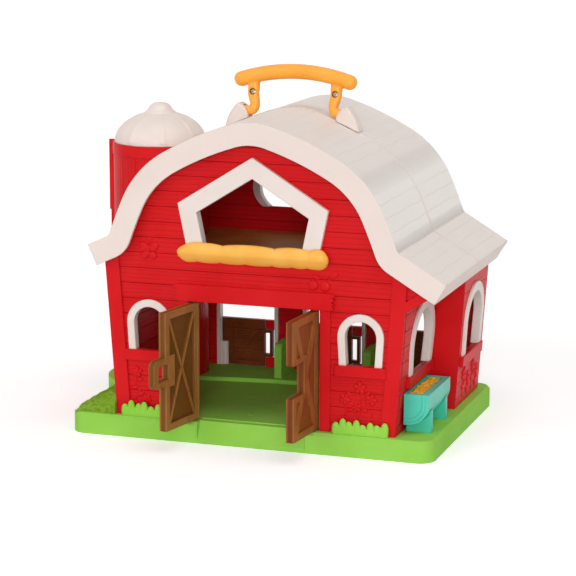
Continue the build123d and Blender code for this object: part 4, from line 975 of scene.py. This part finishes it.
def carve_side_flowers(face):
    foot = 20.5
    for u, v, size, turn in ((24.0, 40.0, 5.0, 10), (38.0, 35.0, 4.4, 40), (52.0, 41.0, 5.0, 20),
                             (64.0, 35.0, 4.4, 60)):
        face.flower(u, v, size, turn)
        face.stem([(u, v - size), (u - 1.5, v - size - 5.0), (u, foot)])
        face.leaf(u, v - size - 4.0, 5.0, 35.0)
        face.leaf(u, v - size - 7.0, 5.0, 145.0)


def make_ornament():
    front = Carving((0.0, WALL_Y - PLANK_RISE, 0.0), (1, 0, 0), (0, 0, 1))
    carve_butterfly(front, -82.0, 142.0)
    carve_cherries(front)
    carve_climber(front)
    carve_front_flowers(front)
    front.finish("front_carving", PLAIN_RED, "red_wall")
    # on the rear half's side wall, below its window
    side = Carving((REAR_SIDE_X + PLANK_RISE - LEAN * BASE_TOP, 0.0, 0.0), (0, 1, 0), (LEAN, 0, 1))
    carve_side_flowers(side)
    side.finish("side_carving", PLAIN_RED, "red_wall")


make_ornament()


# ---- Broken board ends on the lintel and the window sills --------------------------------------------
def splinters(bm, x, out, low, high, depth, teeth, seed):
    """A broken board end: a wavering edge that reaches out from x, between two heights."""
    chance = random.Random(seed)
    steps = range(2 * teeth + 1)
    heights = [low + (high - low) * index / (2 * teeth) for index in steps]
    reach = [chance.uniform(1.8, 3.2) if index % 2 else chance.uniform(0.2, 0.9) for index in steps]
    edge = [(x + out * far, z) for far, z in zip(reach, heights)]
    outline = [(x - out, high), (x - out, low)] + edge
    skin(bm, [[(px, y, pz) for px, pz in outline] for y in (WALL_Y - depth, WALL_Y + 0.2)])


def make_board_ends():
    lintel_half, lintel_low, lintel_high = 60.0, 106.5, 118.6
    sill_half, sill_low, sill_high = 18.9, 58.8, 66.4
    bm = bmesh.new()
    for out in (-1, 1):
        splinters(bm, out * lintel_half, out, lintel_low, lintel_high, 3.4, 4, out + 3)
        for middle in (-82.0, 82.0):
            x = middle + out * sill_half
            splinters(bm, x, out * 0.45, sill_low, sill_high, 2.9, 3, out + middle)
    make_piece("board_ends", bm, "barn", PLAIN_RED, crease=30.0)


make_board_ends()


# ---- Trough: ribs on its ends and the feed -----------------------------------------------------------
def make_trough_ribs():
    left, right, bottom, top, radius = 111.3, 130.0, 22.8, 45.9, 15.5
    centre_x, centre_z = right - radius, bottom + radius
    turns = [math.radians(turn) for turn in (-90, -67, -45, -22, 0)]
    for name, y, out in (("trough_ribs_front", -76.0, 1), ("trough_ribs_back", -14.0, -1)):
        face = Carving((0.0, y, 0.0), (out, 0, 0), (0, 0, 1))
        for inset in (2.2, 5.0):
            reach = radius - inset
            arc = [(centre_x + reach * math.cos(a), centre_z + reach * math.sin(a)) for a in turns]
            route = [(left + 0.8, centre_z - reach)] + arc + [(right - inset, top - 1.0)]
            face.stem([(out * u, v) for u, v in route], 0.45)
        face.finish(name, TEAL, "teal_trough")


make_trough_ribs()


def straw(bm, middle, turn, length):
    """A short body rounded at both ends, lying flat."""
    rings = []
    steps = 6
    for step in range(steps + 1):
        t = -math.cos(math.pi * step / steps)
        size = math.sqrt(max(0.01, 1.0 - t * t))
        wide, tall = 1.05 * size, 0.95 * size
        rings.append([middle + turn @ Vector((length * t, wide * math.cos(a), tall * math.sin(a)))
                      for a in circle(10)])
    skin(bm, rings)


def make_feed():
    """Short straws on a bed that fills the tub nearly up to its rim."""
    low, high = (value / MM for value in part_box("trough_feed"))
    bed_low, bed_top = low.z + 3.0, 43.6
    across, along, margin_x, margin_y = 5, 25, 1.5, 2.0
    bm = bmesh.new()
    chance = random.Random(5)
    skin(bm, [[(low.x, low.y, z), (high.x, low.y, z), (high.x, high.y, z), (low.x, high.y, z)]
              for z in (bed_low, bed_top)])
    pitch_x = (high.x - low.x - 2.0 * margin_x) / (across - 1)
    pitch_y = (high.y - low.y - 2.0 * margin_y) / (along - 1)
    for column in range(across):
        for row in range(along):
            length = chance.uniform(1.9, 3.2)
            x = low.x + margin_x + pitch_x * (column + chance.uniform(-0.3, 0.3))
            y = low.y + margin_y + pitch_y * (row + chance.uniform(-0.3, 0.3))
            z = bed_top + chance.uniform(0.3, 1.5)
            middle = Vector((min(max(x, low.x + 1.6), high.x - 1.6), y, z))
            turn = Matrix.Rotation(math.pi / 2 + chance.uniform(-0.6, 0.6), 3, "Z")
            straw(bm, middle, turn, length)
    for vert in bm.verts:
        vert.co.x = min(max(vert.co.x, low.x), high.x)
    make_piece("feed_kernels", bm, "barn", FEED, ["trough_feed"], 60.0)


make_feed()


# ---- Tufts embossed on the floor ---------------------------------------------------------------------
def make_tufts():
    face = Carving((0.0, 0.0, BASE_TOP), (1, 0, 0), (0, 1, 0))
    for u, v in ((-20, -40), (-4, -28), (14, -44), (24, -22), (-30, -12), (6, -6), (32, -58), (-12, -62)):
        for lean in (-2.6, 0.0, 2.6):
            tip = (u + lean, v + 4.2 - abs(lean) * 0.4)
            face.stem([(u + 0.3 * lean, v), (u + 0.6 * lean, v + 2.2), tip], 0.38)
    face.finish("floor_tufts", BASE, "green_base")


make_tufts()
